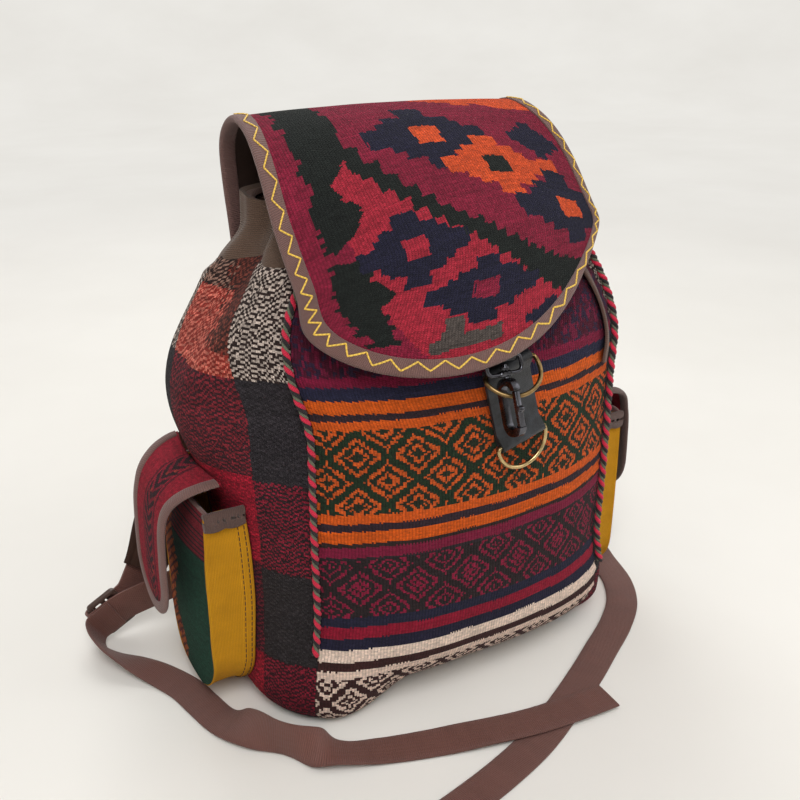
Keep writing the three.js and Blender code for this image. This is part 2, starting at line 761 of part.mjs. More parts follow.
// The hook hangs from its eye's top bar, leaning out over the upper ring's bow.
function buildHook() {
  const hanging = new THREE.Group();
  hanging.position.set(...hookBarAt);
  hanging.rotation.x = radians(-hookTilt);
  backpack.add(hanging);
  const group = new THREE.Group();
  group.position.z = -(eyeHeight + bossHeight / 2 + gap);
  hanging.add(group);

  // The claw lies in the (Y, Z) plane; its gate side faces -Y.
  const claw = new THREE.Shape(roundedLoop(hookDepth / 2, hookHeight / 2, 8, 6).map(([y, z]) => (
    new THREE.Vector2(y, z - hookHeight / 2))));
  const inside = roundedLoop(hookDepth / 2 - hookBar, hookHeight / 2 - hookBar, 4.5, 5);
  claw.holes.push(new THREE.Path(inside.map(([y, z]) => new THREE.Vector2(y, z - hookHeight / 2))));
  const gateFrom = -hookBar - 3.4;
  const gateTo = -hookHeight + hookBar + 1.2;
  const mouth = new THREE.BoxGeometry(hookThickness + 2, hookBar + 3, gateFrom - gateTo);
  mouth.translate(0, -hookDepth / 2 + hookBar / 2 - 1, (gateFrom + gateTo) / 2);
  const stem = new THREE.CylinderGeometry(stemRadius, stemRadius, bossHeight + 2 + stemHead, 16);
  stem.rotateX(Math.PI / 2);
  stem.translate(0, 0, (bossHeight + 2 + stemHead) / 2 - 1);
  const head = new THREE.CylinderGeometry(stemRadius * 1.7, stemRadius * 1.7, 1.6, 16);
  head.rotateX(Math.PI / 2);
  head.translate(0, 0, bossHeight + 2 * gap + 0.9);
  const body = solidOf(extrudeAcross(claw, hookThickness, 6))
    .subtract(solidOf(mouth)).add(solidOf(stem)).add(solidOf(head));
  add('hook_body', geometryFrom(body), materials.hook, group);

  // The gate closes the mouth: a flat lever with a thumb tab, pivoted at its foot.
  const gateY = -hookDepth / 2 + hookBar / 2;
  const half = hookBar / 2 - 0.3;
  const gate = new THREE.Shape();
  gate.moveTo(gateY - half, gateTo + gap);
  gate.lineTo(gateY + half, gateTo + gap);
  gate.lineTo(gateY + half, gateFrom - gap);
  gate.lineTo(gateY - half, gateFrom - gap);
  gate.lineTo(gateY - half, (gateFrom + gateTo) / 2 + 2);
  gate.lineTo(gateY - half - 2.2, (gateFrom + gateTo) / 2 + 1);
  gate.lineTo(gateY - half - 2.2, (gateFrom + gateTo) / 2 - 1);
  gate.lineTo(gateY - half, (gateFrom + gateTo) / 2 - 2);
  add('hook_gate', extrudeAcross(gate, hookThickness - 1), materials.hook, group);

  // The eye: a wire frame round the leather tab, with a boss for the hook's stem.
  const loop = roundedLoop(eyeHalfWidth, eyeHeight / 2, 3.5, 4).map(([x, z]) => (
    new THREE.Vector3(x, 0, z + eyeHeight / 2 + bossHeight / 2 + gap)));
  const boss = new THREE.CylinderGeometry(bossRadius, bossRadius, bossHeight, 20);
  boss.rotateX(Math.PI / 2);
  boss.translate(0, 0, bossHeight / 2 + gap);
  const bore = new THREE.CylinderGeometry(stemRadius + gap, stemRadius + gap, bossHeight + 6, 16);
  bore.rotateX(Math.PI / 2);
  bore.translate(0, 0, bossHeight / 2 + gap);
  const eye = solidOf(wireLoop(loop, new THREE.Vector3(0, 1, 0), eyeWire, 8))
    .add(solidOf(boss)).subtract(solidOf(bore));
  add('hook_eye', geometryFrom(eye), materials.hook, group);
}

// The leather tab under the lid: it folds round the eye's top bar and runs up the lining.
function buildFlapTab() {
  const hole = eyeWire + ringPlay;
  const outer = hole + loopWall;
  const shape = new THREE.Shape();
  shape.absarc(0, 0, outer, radians(165), radians(355), false);
  shape.lineTo(outer + 4.6, 17);
  shape.lineTo(outer + 1.7, 18.3);
  const path = new THREE.Path();
  path.absarc(0, 0, hole, 0, 2 * Math.PI, true);
  shape.holes.push(path);
  const tab = add('flap_tab', extrudeAcross(shape, flapTabWidth, 10), materials.leather);
  tab.position.set(...hookBarAt);
}

// Side pockets. The outline is a U in (Y, Z); X grows away from the bag.
function pocketSkinX(y, z, side) {
  const across = (y - pocketCentreY) / (pocketHalfWidth + 13);
  const up = (z - 80) / 110;
  const stand = side < 0 ? leftPocketStand : rightPocketStand;
  return bodyHalfWidth + stand + pocketBulge * (1 - across ** 2) * (1 - up ** 2);
}

function pocketFloor(y) {
  const beyond = Math.abs(y - pocketCentreY) - (pocketHalfWidth - pocketCorner);
  const into = Math.min(pocketCorner, Math.max(0, beyond));
  return pocketBottom + pocketCorner - Math.sqrt(pocketCorner ** 2 - into ** 2);
}

function pocketFace(side) {
  const fans = spread(10, -90, 90);
  const rows = spread(8, 0, 1);
  const place = (inward) => (fan, row) => {
    const y = pocketCentreY + pocketHalfWidth * Math.sin(radians(fan));
    const low = pocketFloor(y);
    const z = low + (pocketTop - low) * row;
    return new THREE.Vector3(side * (pocketSkinX(y, z, side) - inward), y, z);
  };
  return sheet(fans, rows, place(0), place(pocketWall));
}

// The gusset's line down the front, round under and up the back, with its way in.
function pocketLine() {
  const line = [];
  const front = pocketCentreY - pocketHalfWidth;
  const back = pocketCentreY + pocketHalfWidth;
  for (const z of spread(7, pocketTop, pocketBottom + pocketCorner)) {
    line.push({ y: front, z, in: [1, 0] });
  }
  for (const a of spread(6, 0, 90).slice(1)) {
    const [sin, cos] = [Math.sin(radians(a)), Math.cos(radians(a))];
    line.push({
      y: front + pocketCorner * (1 - cos), z: pocketBottom + pocketCorner * (1 - sin), in: [cos, sin] });
  }
  for (const a of spread(6, 90, 0).slice(0, -1)) {
    const [sin, cos] = [Math.sin(radians(a)), Math.cos(radians(a))];
    line.push({
      y: back - pocketCorner * (1 - cos), z: pocketBottom + pocketCorner * (1 - sin), in: [-cos, sin] });
  }
  for (const z of spread(7, pocketBottom + pocketCorner, pocketTop)) {
    line.push({ y: back, z, in: [-1, 0] });
  }
  return line;
}

function gussetRootX(y, z, side) {
  const under = Math.max(0, bottomRadius - z);
  const inset = bottomRadius - Math.sqrt(Math.max(0, bottomRadius ** 2 - under ** 2));
  return bodySideX(y, z, side) - inset;
}

function pocketGusset(side) {
  const corners = [[0, 0], [1, 0], [1, 1], [0, 1]];
  const place = ({ y, z, in: way }, [out, inner]) => {
    const py = y + way[0] * inner * pocketWall;
    const pz = z + way[1] * inner * pocketWall;
    const root = Math.max(gussetRootX(y, z, side), gussetRootX(py, pz, side)) + gap;
    const edge = Math.min(pocketSkinX(y, z, side), pocketSkinX(py, pz, side)) - pocketWall - gap;
    return new THREE.Vector3(side * (root + (edge - root) * out), py, pz);
  };
  return sweep(pocketLine(), corners, place);
}

// The brown band folded over the pocket's mouth, on three sides.
function pocketMouth(side) {
  const front = pocketCentreY - pocketHalfWidth;
  const back = pocketCentreY + pocketHalfWidth;
  const steps = 8;
  const line = [];
  line.push({ x: gussetRootX(front, pocketTop, side) + mouthRoot, y: front, way: [0, 1] });
  line.push({ y: front, way: [-0.707, 0.707] });
  for (const y of spread(steps, front, back).slice(1, -1)) {
    line.push({ y, way: [-1, 0] });
  }
  line.push({ y: back, way: [-0.707, -0.707] });
  line.push({ x: gussetRootX(back, pocketTop, side) + mouthRoot, y: back, way: [0, -1] });
  const outer = gap + bindingWall;
  const corners = [
    [-outer, -mouthBand], [-outer, outer], [pocketWall + outer, outer], [pocketWall + outer, -mouthBand],
    [pocketWall + gap, -mouthBand], [pocketWall + gap, gap], [-gap, gap], [-gap, -mouthBand],
  ];
  const place = ({ x, y, way }, [u, v]) => {
    const miter = Math.abs(way[0] * way[1]) > 0.1 ? Math.SQRT2 : 1;
    const from = x ?? pocketSkinX(y, Math.min(pocketTop, pocketTop + v), side);
    return new THREE.Vector3(side * (from + way[0] * u * miter), y + way[1] * u * miter, pocketTop + v);
  };
  return sweep(line, corners, place);
}

// The pocket's tongue: from its seam on the bag, out over the mouth and down the face.
const tongueSideView = [
  [0.4, pocketFlapRoot], [9, 176.5], [19, 172], [28, 163], [32.5, 150], [34.5, 125], [35, 100], [34, pocketFlapTip],
];
const tongueLine = new THREE.CatmullRomCurve3(
  tongueSideView.map(([x, z]) => new THREE.Vector3(x, 0, z)), false, 'centripetal');
const tongueLength = tongueLine.getLength();
const tongueStraight = tongueLength - pocketFlapHalf;

function tongueSurface(side, across, along) {
  const run = Math.min(1, Math.max(0, along / tongueLength));
  const point = tongueLine.getPointAt(run);
  point.addScaledVector(tongueLine.getTangentAt(run), Math.max(0, along - tongueLength));
  point.y = pocketCentreY + across;
  const curve = (across / pocketHalfWidth) ** 2;
  point.x += bodySideX(pocketCentreY, pocketFlapRoot, side) + 3 * gap;
  point.x -= curve * (2.2 + 3 * smooth(1 - along / 30));
  return point;
}

function tonguePoint(side, across, along, off) {
  const step = 0.5;
  const inside = Math.max(step, along);
  const du = tongueSurface(side, across + step, inside).sub(tongueSurface(side, across - step, inside));
  const dv = tongueSurface(side, across, inside + step).sub(tongueSurface(side, across, inside - step));
  const normal = new THREE.Vector3().crossVectors(dv, du).normalize();
  const point = tongueSurface(side, across, along).addScaledVector(normal, off);
  point.x *= side;
  return point;
}

function tongueHalfWidth(along) {
  return pocketFlapRootHalf + (pocketFlapHalf - pocketFlapRootHalf) * smooth(along / 45);
}

function pocketTongue(side) {
  const fans = spread(tongueFans, -90, 90);
  const rows = spread(tongueStraightRows + tongueTipRows, 0, tongueStraightRows + tongueTipRows);
  const layer = (off) => (fan, row) => {
    const straight = Math.min(1, row / tongueStraightRows) * tongueStraight;
    const past = Math.max(0, row - tongueStraightRows) / tongueTipRows;
    const along = straight + past * pocketFlapHalf * Math.cos(radians(fan));
    return tonguePoint(side, Math.sin(radians(fan)) * tongueHalfWidth(along), along, off);
  };
  return sheet(fans, rows, layer(pocketFlapCloth), layer(0));
}

function tongueBinding(side) {
  const stations = [];
  for (const along of spread(tongueStraightRows, 0, tongueStraight)) {
    stations.push({ at: [-tongueHalfWidth(along), along], inward: [1, 0] });
  }
  for (const fan of spread(tongueFans, -90, 90).slice(1, -1)) {
    const [sin, cos] = [Math.sin(radians(fan)), Math.cos(radians(fan))];
    stations.push({ at: [pocketFlapHalf * sin, tongueStraight + pocketFlapHalf * cos], inward: [-sin, -cos] });
  }
  for (const along of spread(tongueStraightRows, tongueStraight, 0)) {
    stations.push({ at: [tongueHalfWidth(along), along], inward: [-1, 0] });
  }
  const place = ({ at, inward }, [u, v]) => tonguePoint(side, at[0] + inward[0] * u, at[1] + inward[1] * u, v);
  return sweep(stations, bindingSection(0, pocketFlapCloth, 7), place);
}

function buildPockets() {
  for (const [name, side] of [['left', -1], ['right', 1]]) {
    add(`${name}_pocket_face`, pocketFace(side), materials.pocket);
    add(`${name}_pocket_gusset`, pocketGusset(side), materials.yellow);
    add(`${name}_pocket_mouth_binding`, pocketMouth(side), materials.binding);
    add(`${name}_pocket_flap`, pocketTongue(side), materials.pocketFlap);
    add(`${name}_pocket_flap_binding`, tongueBinding(side), materials.binding);
  }
}

const vectors = (list) => list.map(([x, y, z]) => new THREE.Vector3(x, y, z));
const mirrored = (list, side) => list.map(([x, y, z]) => [side * x, y, z]);

// The patch that holds the shoulder straps and the haul loop on the back panel.
function buildPatch() {
  const columns = spread(12, -patchHalfWidth, patchHalfWidth);
  const rows = spread(4, patchBottom, patchTop);
  const place = (off) => (x, z) => new THREE.Vector3(x, bodyBackY(x, z) + off, z);
  add('strap_patch', sheet(columns, rows, place(gap + patchThickness), place(gap)), materials.webbing);
}

const patchSkin = backDepth + gap + patchThickness;

function buildHaulLoop() {
  const y = patchSkin + gap + webbingThickness / 2;
  const line = vectors([
    [-42, y, 268], [-40, y + 3, 276], [-34, y + 14, 296], [-18, y + 25, 312], [0, y + 28, 317],
    [18, y + 25, 312], [34, y + 14, 296], [40, y + 3, 276], [42, y, 268]]);
  const ways = vectors([
    [1, 0, 0], [1, -0.1, 0.1], [0.8, -0.5, 0.4], [0.3, -0.8, 0.5], [0, -0.85, 0.5],
    [-0.3, -0.8, 0.5], [-0.8, -0.5, 0.4], [-1, -0.1, 0.1], [-1, 0, 0]]);
  add('haul_loop', ribbon(line, ways, 22, webbingThickness, 26), materials.webbing);
}

// One shoulder strap: padded cloth, a lock sewn to its foot, and webbing through the lock.
const padLift = patchSkin + gap + padThickness / 2;
const padLine = [
  [36, padLift, 257], [40, padLift, 244], [48, padLift + 3.5, 228], [64, padLift + 13, 206],
  [90, padLift + 22, 176], [118, padLift + 25, 142], [146, padLift + 22, 108], [169, padLift + 17, 75],
  [186, padLift + 11.5, 47],
];
const padWays = [
  [1, 0, 0.24], [1, 0, 0.3], [1, 0, 0.4], [0.9, 0, 0.52], [0.82, 0, 0.58], [0.82, 0, 0.58],
  [0.85, 0, 0.52], [0.88, 0, 0.46], [0.88, 0, 0.5],
];
const lockCentre = [217, 97, 23];
const lockAlong = [0.87, 0, -0.49];

function lockFrame(side) {
  const along = new THREE.Vector3(side * lockAlong[0], lockAlong[1], lockAlong[2]).normalize();
  const face = new THREE.Vector3(0, 1, 0);
  face.addScaledVector(along, -face.dot(along)).normalize();
  const across = new THREE.Vector3().crossVectors(face, along).normalize();
  return { along, face, across, centre: new THREE.Vector3(side * lockCentre[0], lockCentre[1], lockCentre[2]) };
}

// One place along the pad: its middle, its width direction and its outer side.
function padStation(side, t) {
  const path = new THREE.CatmullRomCurve3(vectors(mirrored(padLine, side)), false, 'centripetal');
  const ways = new THREE.CatmullRomCurve3(vectors(mirrored(padWays, side)), false, 'centripetal');
  const along = path.getTangent(t);
  const across = ways.getPoint(t);
  across.addScaledVector(along, -across.dot(along)).normalize();
  const face = new THREE.Vector3().crossVectors(along, across).normalize();
  face.multiplyScalar(Math.sign(face.y));
  const taper = 1 - 0.3 * smooth((t - 0.8) / 0.2);
  return { middle: path.getPoint(t), across, face, half: (padWidth / 2) * taper };
}

function buildPad(name, side) {
  const stations = spread(18, 0, 1).map((t) => padStation(side, t));
  const corners = [[-1, -0.15], [-0.93, -0.5], [0.93, -0.5], [1, -0.15], [1, 0.15], [0.93, 0.5], [-0.93, 0.5],
    [-1, 0.15]];
  const place = (s, [u, v]) => (
    s.middle.clone().addScaledVector(s.across, u * s.half).addScaledVector(s.face, v * padThickness));
  add(`${name}_shoulder_strap`, sweep(stations, corners, place), materials.pad);
}

function buildLock(name, side) {
  const { along, face, across, centre } = lockFrame(side);
  const shape = new THREE.Shape(roundedLoop(lockWidth / 2, lockLength / 2, 3, 3).map(([u, v]) => (
    new THREE.Vector2(u, v))));
  const inner = lockWidth / 2 - 3.4;
  const pitch = (lockLength - lockBar) / 2;
  for (const middle of [-pitch / 2, pitch / 2]) {
    const half = (pitch - lockBar) / 2;
    const slot = new THREE.Path([
      new THREE.Vector2(-inner, middle - half), new THREE.Vector2(-inner, middle + half),
      new THREE.Vector2(inner, middle + half), new THREE.Vector2(inner, middle - half)]);
    shape.holes.push(slot);
  }
  const geometry = new THREE.ExtrudeGeometry(shape, { depth: lockThickness, bevelEnabled: false });
  geometry.translate(0, 0, -lockThickness / 2);
  const frame = new THREE.Matrix4().makeBasis(across, along, new THREE.Vector3().crossVectors(across, along));
  frame.setPosition(centre);
  geometry.applyMatrix4(frame);
  add(`${name}_ladder_lock`, geometry, materials.plastic);
}

// Webbing laid against the lock: u runs along the lock and v out of its face.
function lockPoints(side, list) {
  const { along, face, centre } = lockFrame(side);
  return list.map(([u, v]) => centre.clone().addScaledVector(along, u).addScaledVector(face, v));
}

// The strap's sewn foot, then the webbing from the bag's corner round the lock's outer bar.
function buildWebbing(name, side) {
  const lay = lockThickness / 2 + gap + webbingThickness / 2;
  const { across } = lockFrame(side);
  const outward = across.clone().multiplyScalar(Math.sign(across.x) * side);
  const onPad = (t) => {
    const { middle, face } = padStation(side, t);
    return middle.addScaledVector(face, padThickness / 2 + 2 * gap + webbingThickness / 2);
  };
  const foot = [onPad(0.9), onPad(0.96), onPad(1), ...lockPoints(side, [[-19, lay + 3], [-12, lay + 0.3],
    [-3, lay]])];
  const footWays = [padStation(side, 0.9).across, padStation(side, 0.96).across, padStation(side, 1).across,
    outward, outward, outward];
  add(`${name}_strap_foot`, ribbon(foot, footWays, webbingWidth, webbingThickness, 14), materials.webbing);
  const turnRadius = lay + 0.3;
  const turnAt = lockLength / 2 - 1;
  const start = [[108, 82.6, 41], [122, 84, 41.5], [142, 86, 41], [165, 88, 38.5], [186, 89.5, 34]];
  const turn = spread(6, -90, 90).map((a) => [
    turnAt + turnRadius * Math.cos(radians(a)), turnRadius * Math.sin(radians(a))]);
  const line = [
    ...vectors(mirrored(start, side)),
    ...lockPoints(side, [[-10, -lay - 2], [2, -lay - 0.5], ...turn, [turnAt - 4, turnRadius]]),
  ];
  const ways = line.map((_, i) => {
    const t = smooth(i / 5);
    return new THREE.Vector3(0, 0, 1).multiplyScalar(1 - t).addScaledVector(outward, t * Math.sign(outward.z));
  });
  add(`${name}_lower_webbing`, ribbon(line, ways, webbingWidth, webbingThickness, 48), materials.webbing);
}

// The loose tails, lying on the floor: place and the way across the strap.
const floorLay = 1.25;
const tailFromLock = [
  [-233, 80, 12.2, -0.5, 0, 0.85], [-227, 64, 10, -0.72, -0.15, 0.66], [-213, 46, 6, -0.9, -0.25, 0.32],
  [-199, 28, 2.2, -0.97, -0.3, 0.08],
];
const leftTail = [
  [-188, 6, floorLay, -0.97, -0.2, 0], [-183, -14, floorLay, -0.97, -0.2, 0],
  [-177, -38, 2.3, -0.95, -0.3, -0.05], [-168, -62, 10.8, -0.6, -0.5, -0.6], [-154, -84, 13.6, -0.1, -0.1, -1],
  [-138, -100, 11.8, 0.3, -0.6, -0.7], [-118, -110, 5, 0.4, -0.9, -0.08], [-92, -118, 1.7, 0.3, -0.95, 0],
  [-60, -128, 2, 0.28, -0.96, 0], [-30, -137, 4, 0.22, -0.97, 0], [8, -145, 4.2, 0.12, -0.99, 0],
  [40, -148, 4.2, 0.06, -1, 0], [72, -149.5, 4.1, 0.04, -1, 0],
];
const rightTail = [
  [190, 4, floorLay, 0.95, -0.3, 0], [177, -36, floorLay, 0.9, -0.4, 0], [160, -62, floorLay, 0.78, -0.62, 0],
  [134, -84, floorLay, 0.6, -0.8, 0], [104, -103, floorLay, 0.55, -0.84, 0], [70, -124, floorLay, 0.52, -0.85, 0],
  [36, -143, floorLay, 0.5, -0.87, 0], [0, -161, floorLay, 0.42, -0.9, 0], [-38, -174, floorLay, 0.3, -0.95, 0],
  [-78, -184, floorLay, 0.22, -0.97, 0], [-108, -190, floorLay, 0.2, -0.98, 0],
];

function buildTails() {
  const beside = -(lockThickness / 2 + 2 * gap + 1.5 * webbingThickness + 0.8);
  for (const [name, side, list] of [['left', -1, leftTail], ['right', 1, rightTail]]) {
    const rest = [...tailFromLock.map(([x, y, z, u, v, w]) => [-side * x, y, z, -side * u, v, w]), ...list];
    const { across } = lockFrame(side);
    const upward = across.clone().multiplyScalar(Math.sign(across.z));
    const line = [...lockPoints(side, [[-3, beside], [7, beside - 0.2], [16, beside - 0.4]]),
      ...rest.map(([x, y, z]) => new THREE.Vector3(x, y, z))];
    const ways = [upward, upward, upward, ...rest.map(([, , , x, y, z]) => new THREE.Vector3(x, y, z))];
    add(`${name}_strap_tail`, ribbon(line, ways, webbingWidth, webbingThickness, 64), materials.webbing);
  }
}

for (const build of [buildPanels, buildBase, buildPiping, buildNeck, buildDrawstringTail, buildFlapSheets,
  buildFlapBinding, buildClosureTab, buildHook, buildFlapTab, buildPockets, buildPatch, buildHaulLoop]) {
  build();
}
for (const [name, side] of [['left', -1], ['right', 1]]) {
  buildPad(name, side);
  buildLock(name, side);
  buildWebbing(name, side);
}
buildTails();

// The frame's origin lies under the middle of the bag's box, without the loose tails.
backpack.updateMatrixWorld(true);
const extent = new THREE.Box3();
for (const piece of backpack.children) {
  if (!piece.name.endsWith('_tail') || piece.name.startsWith('drawstring')) {
    extent.expandByObject(piece);
  }
}
const centre = extent.getCenter(new THREE.Vector3());
for (const piece of backpack.children) {
  piece.position.x -= centre.x;
  piece.position.y -= centre.y;
}
backpack.updateMatrixWorld(true);

export default backpack;
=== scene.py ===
import math
import bpy
import numpy as np
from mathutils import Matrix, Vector


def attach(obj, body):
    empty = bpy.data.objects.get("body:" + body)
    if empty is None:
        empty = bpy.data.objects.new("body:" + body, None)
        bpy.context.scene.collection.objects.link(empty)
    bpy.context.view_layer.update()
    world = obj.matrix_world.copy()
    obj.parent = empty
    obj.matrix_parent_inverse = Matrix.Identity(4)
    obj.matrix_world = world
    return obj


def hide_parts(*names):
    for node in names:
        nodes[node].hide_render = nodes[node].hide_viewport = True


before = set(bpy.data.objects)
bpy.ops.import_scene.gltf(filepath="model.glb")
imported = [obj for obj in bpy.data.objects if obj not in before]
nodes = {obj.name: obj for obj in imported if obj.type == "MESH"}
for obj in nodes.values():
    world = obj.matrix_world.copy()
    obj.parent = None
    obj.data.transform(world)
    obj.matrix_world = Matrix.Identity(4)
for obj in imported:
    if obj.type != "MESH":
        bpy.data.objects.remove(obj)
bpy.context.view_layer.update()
frameShift = 5.213364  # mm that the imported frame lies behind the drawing's own zero

print("camera")
cameraSettings = {"eye": (-0.330, -0.5628, 0.470), "aim": (-0.015, 0.0052, 0.195), "lens": 44.1, "sensor": 36}
lookAlong = Vector(cameraSettings["aim"]) - Vector(cameraSettings["eye"])
bpy.ops.object.camera_add(location=cameraSettings["eye"], rotation=lookAlong.to_track_quat("-Z", "Y").to_euler())
camera = bpy.context.object
camera.name = "Camera"
camera.data.lens = cameraSettings["lens"]
camera.data.sensor_width = cameraSettings["sensor"]
bpy.context.scene.camera = camera


# colours are written as seen on a screen, from 0 to 255
def linear(color):
    c = np.asarray(color, float) / 255
    return np.where(c <= 0.04045, c / 12.92, ((c + 0.055) / 1.055) ** 2.4)


def shade(color, alpha=1.0):
    r, g, b = linear(color)
    return (float(r), float(g), float(b), alpha)


def smooth(t):
    t = np.clip(t, 0, 1)
    return t * t * (3 - 2 * t)


# a centripetal line through points, with as many steps as asked for between two of them
def curveThrough(points, steps):
    p = np.asarray(points, float)
    p = np.vstack([2 * p[0] - p[1], p, 2 * p[-1] - p[-2]])
    out = []
    for k in range(1, len(p) - 2):
        a, b, c, d = (q[:3] for q in p[k - 1:k + 3])
        t0 = 0.0
        t1 = t0 + np.linalg.norm(b - a) ** 0.5
        t2 = t1 + np.linalg.norm(c - b) ** 0.5
        t3 = t2 + np.linalg.norm(d - c) ** 0.5
        a, b, c, d = p[k - 1:k + 3]
        for t in np.linspace(t1, t2, steps, endpoint=False):
            e = (t1 - t) / t1 * a + t / t1 * b
            f = (t2 - t) / (t2 - t1) * b + (t - t1) / (t2 - t1) * c
            g = (t3 - t) / (t3 - t2) * c + (t - t2) / (t3 - t2) * d
            h = (t2 - t) / t2 * e + t / t2 * f
            i = (t3 - t) / (t3 - t1) * f + (t - t1) / (t3 - t1) * g
            out.append((t2 - t) / (t2 - t1) * h + (t - t1) / (t2 - t1) * i)
    out.append(p[-2])
    return np.array(out)


def lengthsAlong(line):
    return np.concatenate([[0.0], np.cumsum(np.linalg.norm(np.diff(line, axis=0), axis=1))])


def evenly(line, count):
    run = lengthsAlong(line[:, :3])
    at = np.linspace(0, run[-1], count)
    return np.stack([np.interp(at, run, line[:, k]) for k in range(line.shape[1])], 1)


def unit(v):
    return v / np.maximum(np.linalg.norm(v, axis=-1, keepdims=True), 1e-9)


# a cosine or sine squared off (power under 1) with its sign kept
def powered(s, power):
    return np.sign(s) * np.abs(s) ** power


# a table's two columns, read at a share v of its length
def readAlong(table, v):
    k, rows = v * (len(table) - 1), np.arange(len(table))
    return np.interp(k, rows, table[:, 0]), np.interp(k, rows, table[:, 1])


def deselect():
    if bpy.context.object and bpy.context.object.mode != "OBJECT":
        bpy.ops.object.mode_set(mode="OBJECT")
    bpy.ops.object.select_all(action="DESELECT")


def pickOut(piece):
    deselect()
    piece.select_set(True)
    bpy.context.view_layer.objects.active = piece


def editAll(piece):
    pickOut(piece)
    bpy.ops.object.mode_set(mode="EDIT")
    bpy.ops.mesh.select_all(action="SELECT")


def selectOpenEdges():
    bpy.ops.mesh.select_all(action="DESELECT")
    bpy.ops.mesh.select_mode(type="EDGE")
    bpy.ops.mesh.select_non_manifold(extend=False, use_wire=False, use_boundary=True, use_multi_face=False,
                                     use_non_contiguous=False, use_verts=False)


def mergeDoubles(piece, distance):
    editAll(piece)
    bpy.ops.mesh.remove_doubles(threshold=distance)
    bpy.ops.object.mode_set(mode="OBJECT")


# a grid primitive laid over a surface: place(u, v) gives millimetres in the drawing's frame
def layGrid(name, cols, rows, place, uv, closed=False, flip=False, smoothAngle=60):
    deselect()
    bpy.ops.mesh.primitive_grid_add(x_subdivisions=cols, y_subdivisions=rows, size=1, calc_uvs=True, location=(0, 0, 0))
    piece = bpy.context.object
    piece.name = name
    mesh = piece.data
    mesh.name = name
    co = np.zeros(len(mesh.vertices) * 3)
    mesh.vertices.foreach_get("co", co)
    u, v = co.reshape(-1, 3)[:, 0] + 0.5, co.reshape(-1, 3)[:, 1] + 0.5
    corner = np.zeros(len(mesh.loops), np.int32)
    mesh.loops.foreach_get("vertex_index", corner)
    around, along = uv(u, v)
    chart = np.stack([around[corner], along[corner]], 1).ravel().astype(np.float32)
    mesh.uv_layers[0].data.foreach_set("uv", chart)
    spots = np.stack(place(u, v), 1)
    spots[:, 1] += frameShift
    mesh.vertices.foreach_set("co", (spots / 1000).ravel())
    mesh.update()
    bpy.ops.object.mode_set(mode="EDIT")
    bpy.ops.mesh.select_all(action="SELECT")
    if closed:  # a tube: its seam is merged and its two ends are filled
        bpy.ops.mesh.remove_doubles(threshold=0.00002)
        selectOpenEdges()
        bpy.ops.mesh.fill()
        bpy.ops.mesh.select_mode(type="VERT")
        bpy.ops.mesh.select_all(action="SELECT")
        bpy.ops.mesh.normals_make_consistent(inside=False)
    elif flip:
        bpy.ops.mesh.flip_normals()
    bpy.ops.object.mode_set(mode="OBJECT")
    bpy.ops.object.shade_smooth_by_angle(angle=math.radians(smoothAngle))
    return piece


# turns a single cloth's edges in, so that no bare edge shows
def turnEdgesIn(piece, depth):
    pickOut(piece)
    bpy.ops.object.mode_set(mode="EDIT")
    selectOpenEdges()
    bpy.ops.object.mode_set(mode="OBJECT")
    mesh = piece.data
    before = len(mesh.vertices)
    normals = {tuple(round(c, 7) for c in v.co): v.normal.copy() for v in mesh.vertices if v.select}
    bpy.ops.object.mode_set(mode="EDIT")
    bpy.ops.mesh.extrude_region_move()
    bpy.ops.object.mode_set(mode="OBJECT")
    for v in mesh.vertices[before:]:
        n = normals.get(tuple(round(c, 7) for c in v.co))
        if n is not None:
            v.co -= n * depth / 1000
    mesh.update()


# colours a grid's faces from a function of each face's own pattern place
def weave(piece, pattern):
    mesh = piece.data
    uvs = np.zeros(len(mesh.loops) * 2, np.float32)
    mesh.uv_layers[0].data.foreach_get("uv", uvs)
    uvs = uvs.reshape(-1, 2)
    starts = np.zeros(len(mesh.polygons), np.int32)
    totals = np.zeros(len(mesh.polygons), np.int32)
    mesh.polygons.foreach_get("loop_start", starts)
    mesh.polygons.foreach_get("loop_total", totals)
    sums = np.add.reduceat(uvs, starts, axis=0) / totals[:, None]
    color = linear(pattern(sums[:, 0], sums[:, 1]))
    attribute = mesh.color_attributes.new(name="yarn", type="FLOAT_COLOR", domain="CORNER")
    full = np.ones((len(mesh.loops), 4), np.float32)
    full[:, :3] = np.repeat(color, totals, axis=0)
    attribute.data.foreach_set("color", full.ravel())


# adds a modifier, sets it and applies it
def applied(piece, kind, **values):
    pickOut(piece)
    modifier = piece.modifiers.new("step", kind)
    for key, value in values.items():
        setattr(modifier, key, value)
    bpy.ops.object.modifier_apply(modifier=modifier.name)


# a closed profile swept along a line: profile(u, v) gives its loop as (sideways, outwards), in mm
def sweep(name, line, ways, normals, profile, around, uvScale=1.0):
    run = lengthsAlong(line)
    rows = len(line) - 1

    def place(u, v):
        k = v * rows
        low = np.clip(np.floor(k).astype(int), 0, rows - 1)
        f = (k - low)[:, None]
        at = line[low] * (1 - f) + line[low + 1] * f
        way = unit(ways[low] * (1 - f) + ways[low + 1] * f)
        out = unit(normals[low] * (1 - f) + normals[low + 1] * f)
        p, q = profile(u, v)
        spot = at + way * p[:, None] + out * q[:, None]
        return spot[:, 0], spot[:, 1], spot[:, 2]

    def uv(u, v):
        return u * around * uvScale, np.interp(v * rows, np.arange(rows + 1), run)

    return layGrid(name, around, rows, place, uv, closed=True)


def frameAlong(line, ways):
    tangent = unit(np.gradient(line, axis=0))
    ways = unit(ways - tangent * np.sum(ways * tangent, 1)[:, None])
    return tangent, ways, np.cross(tangent, ways)


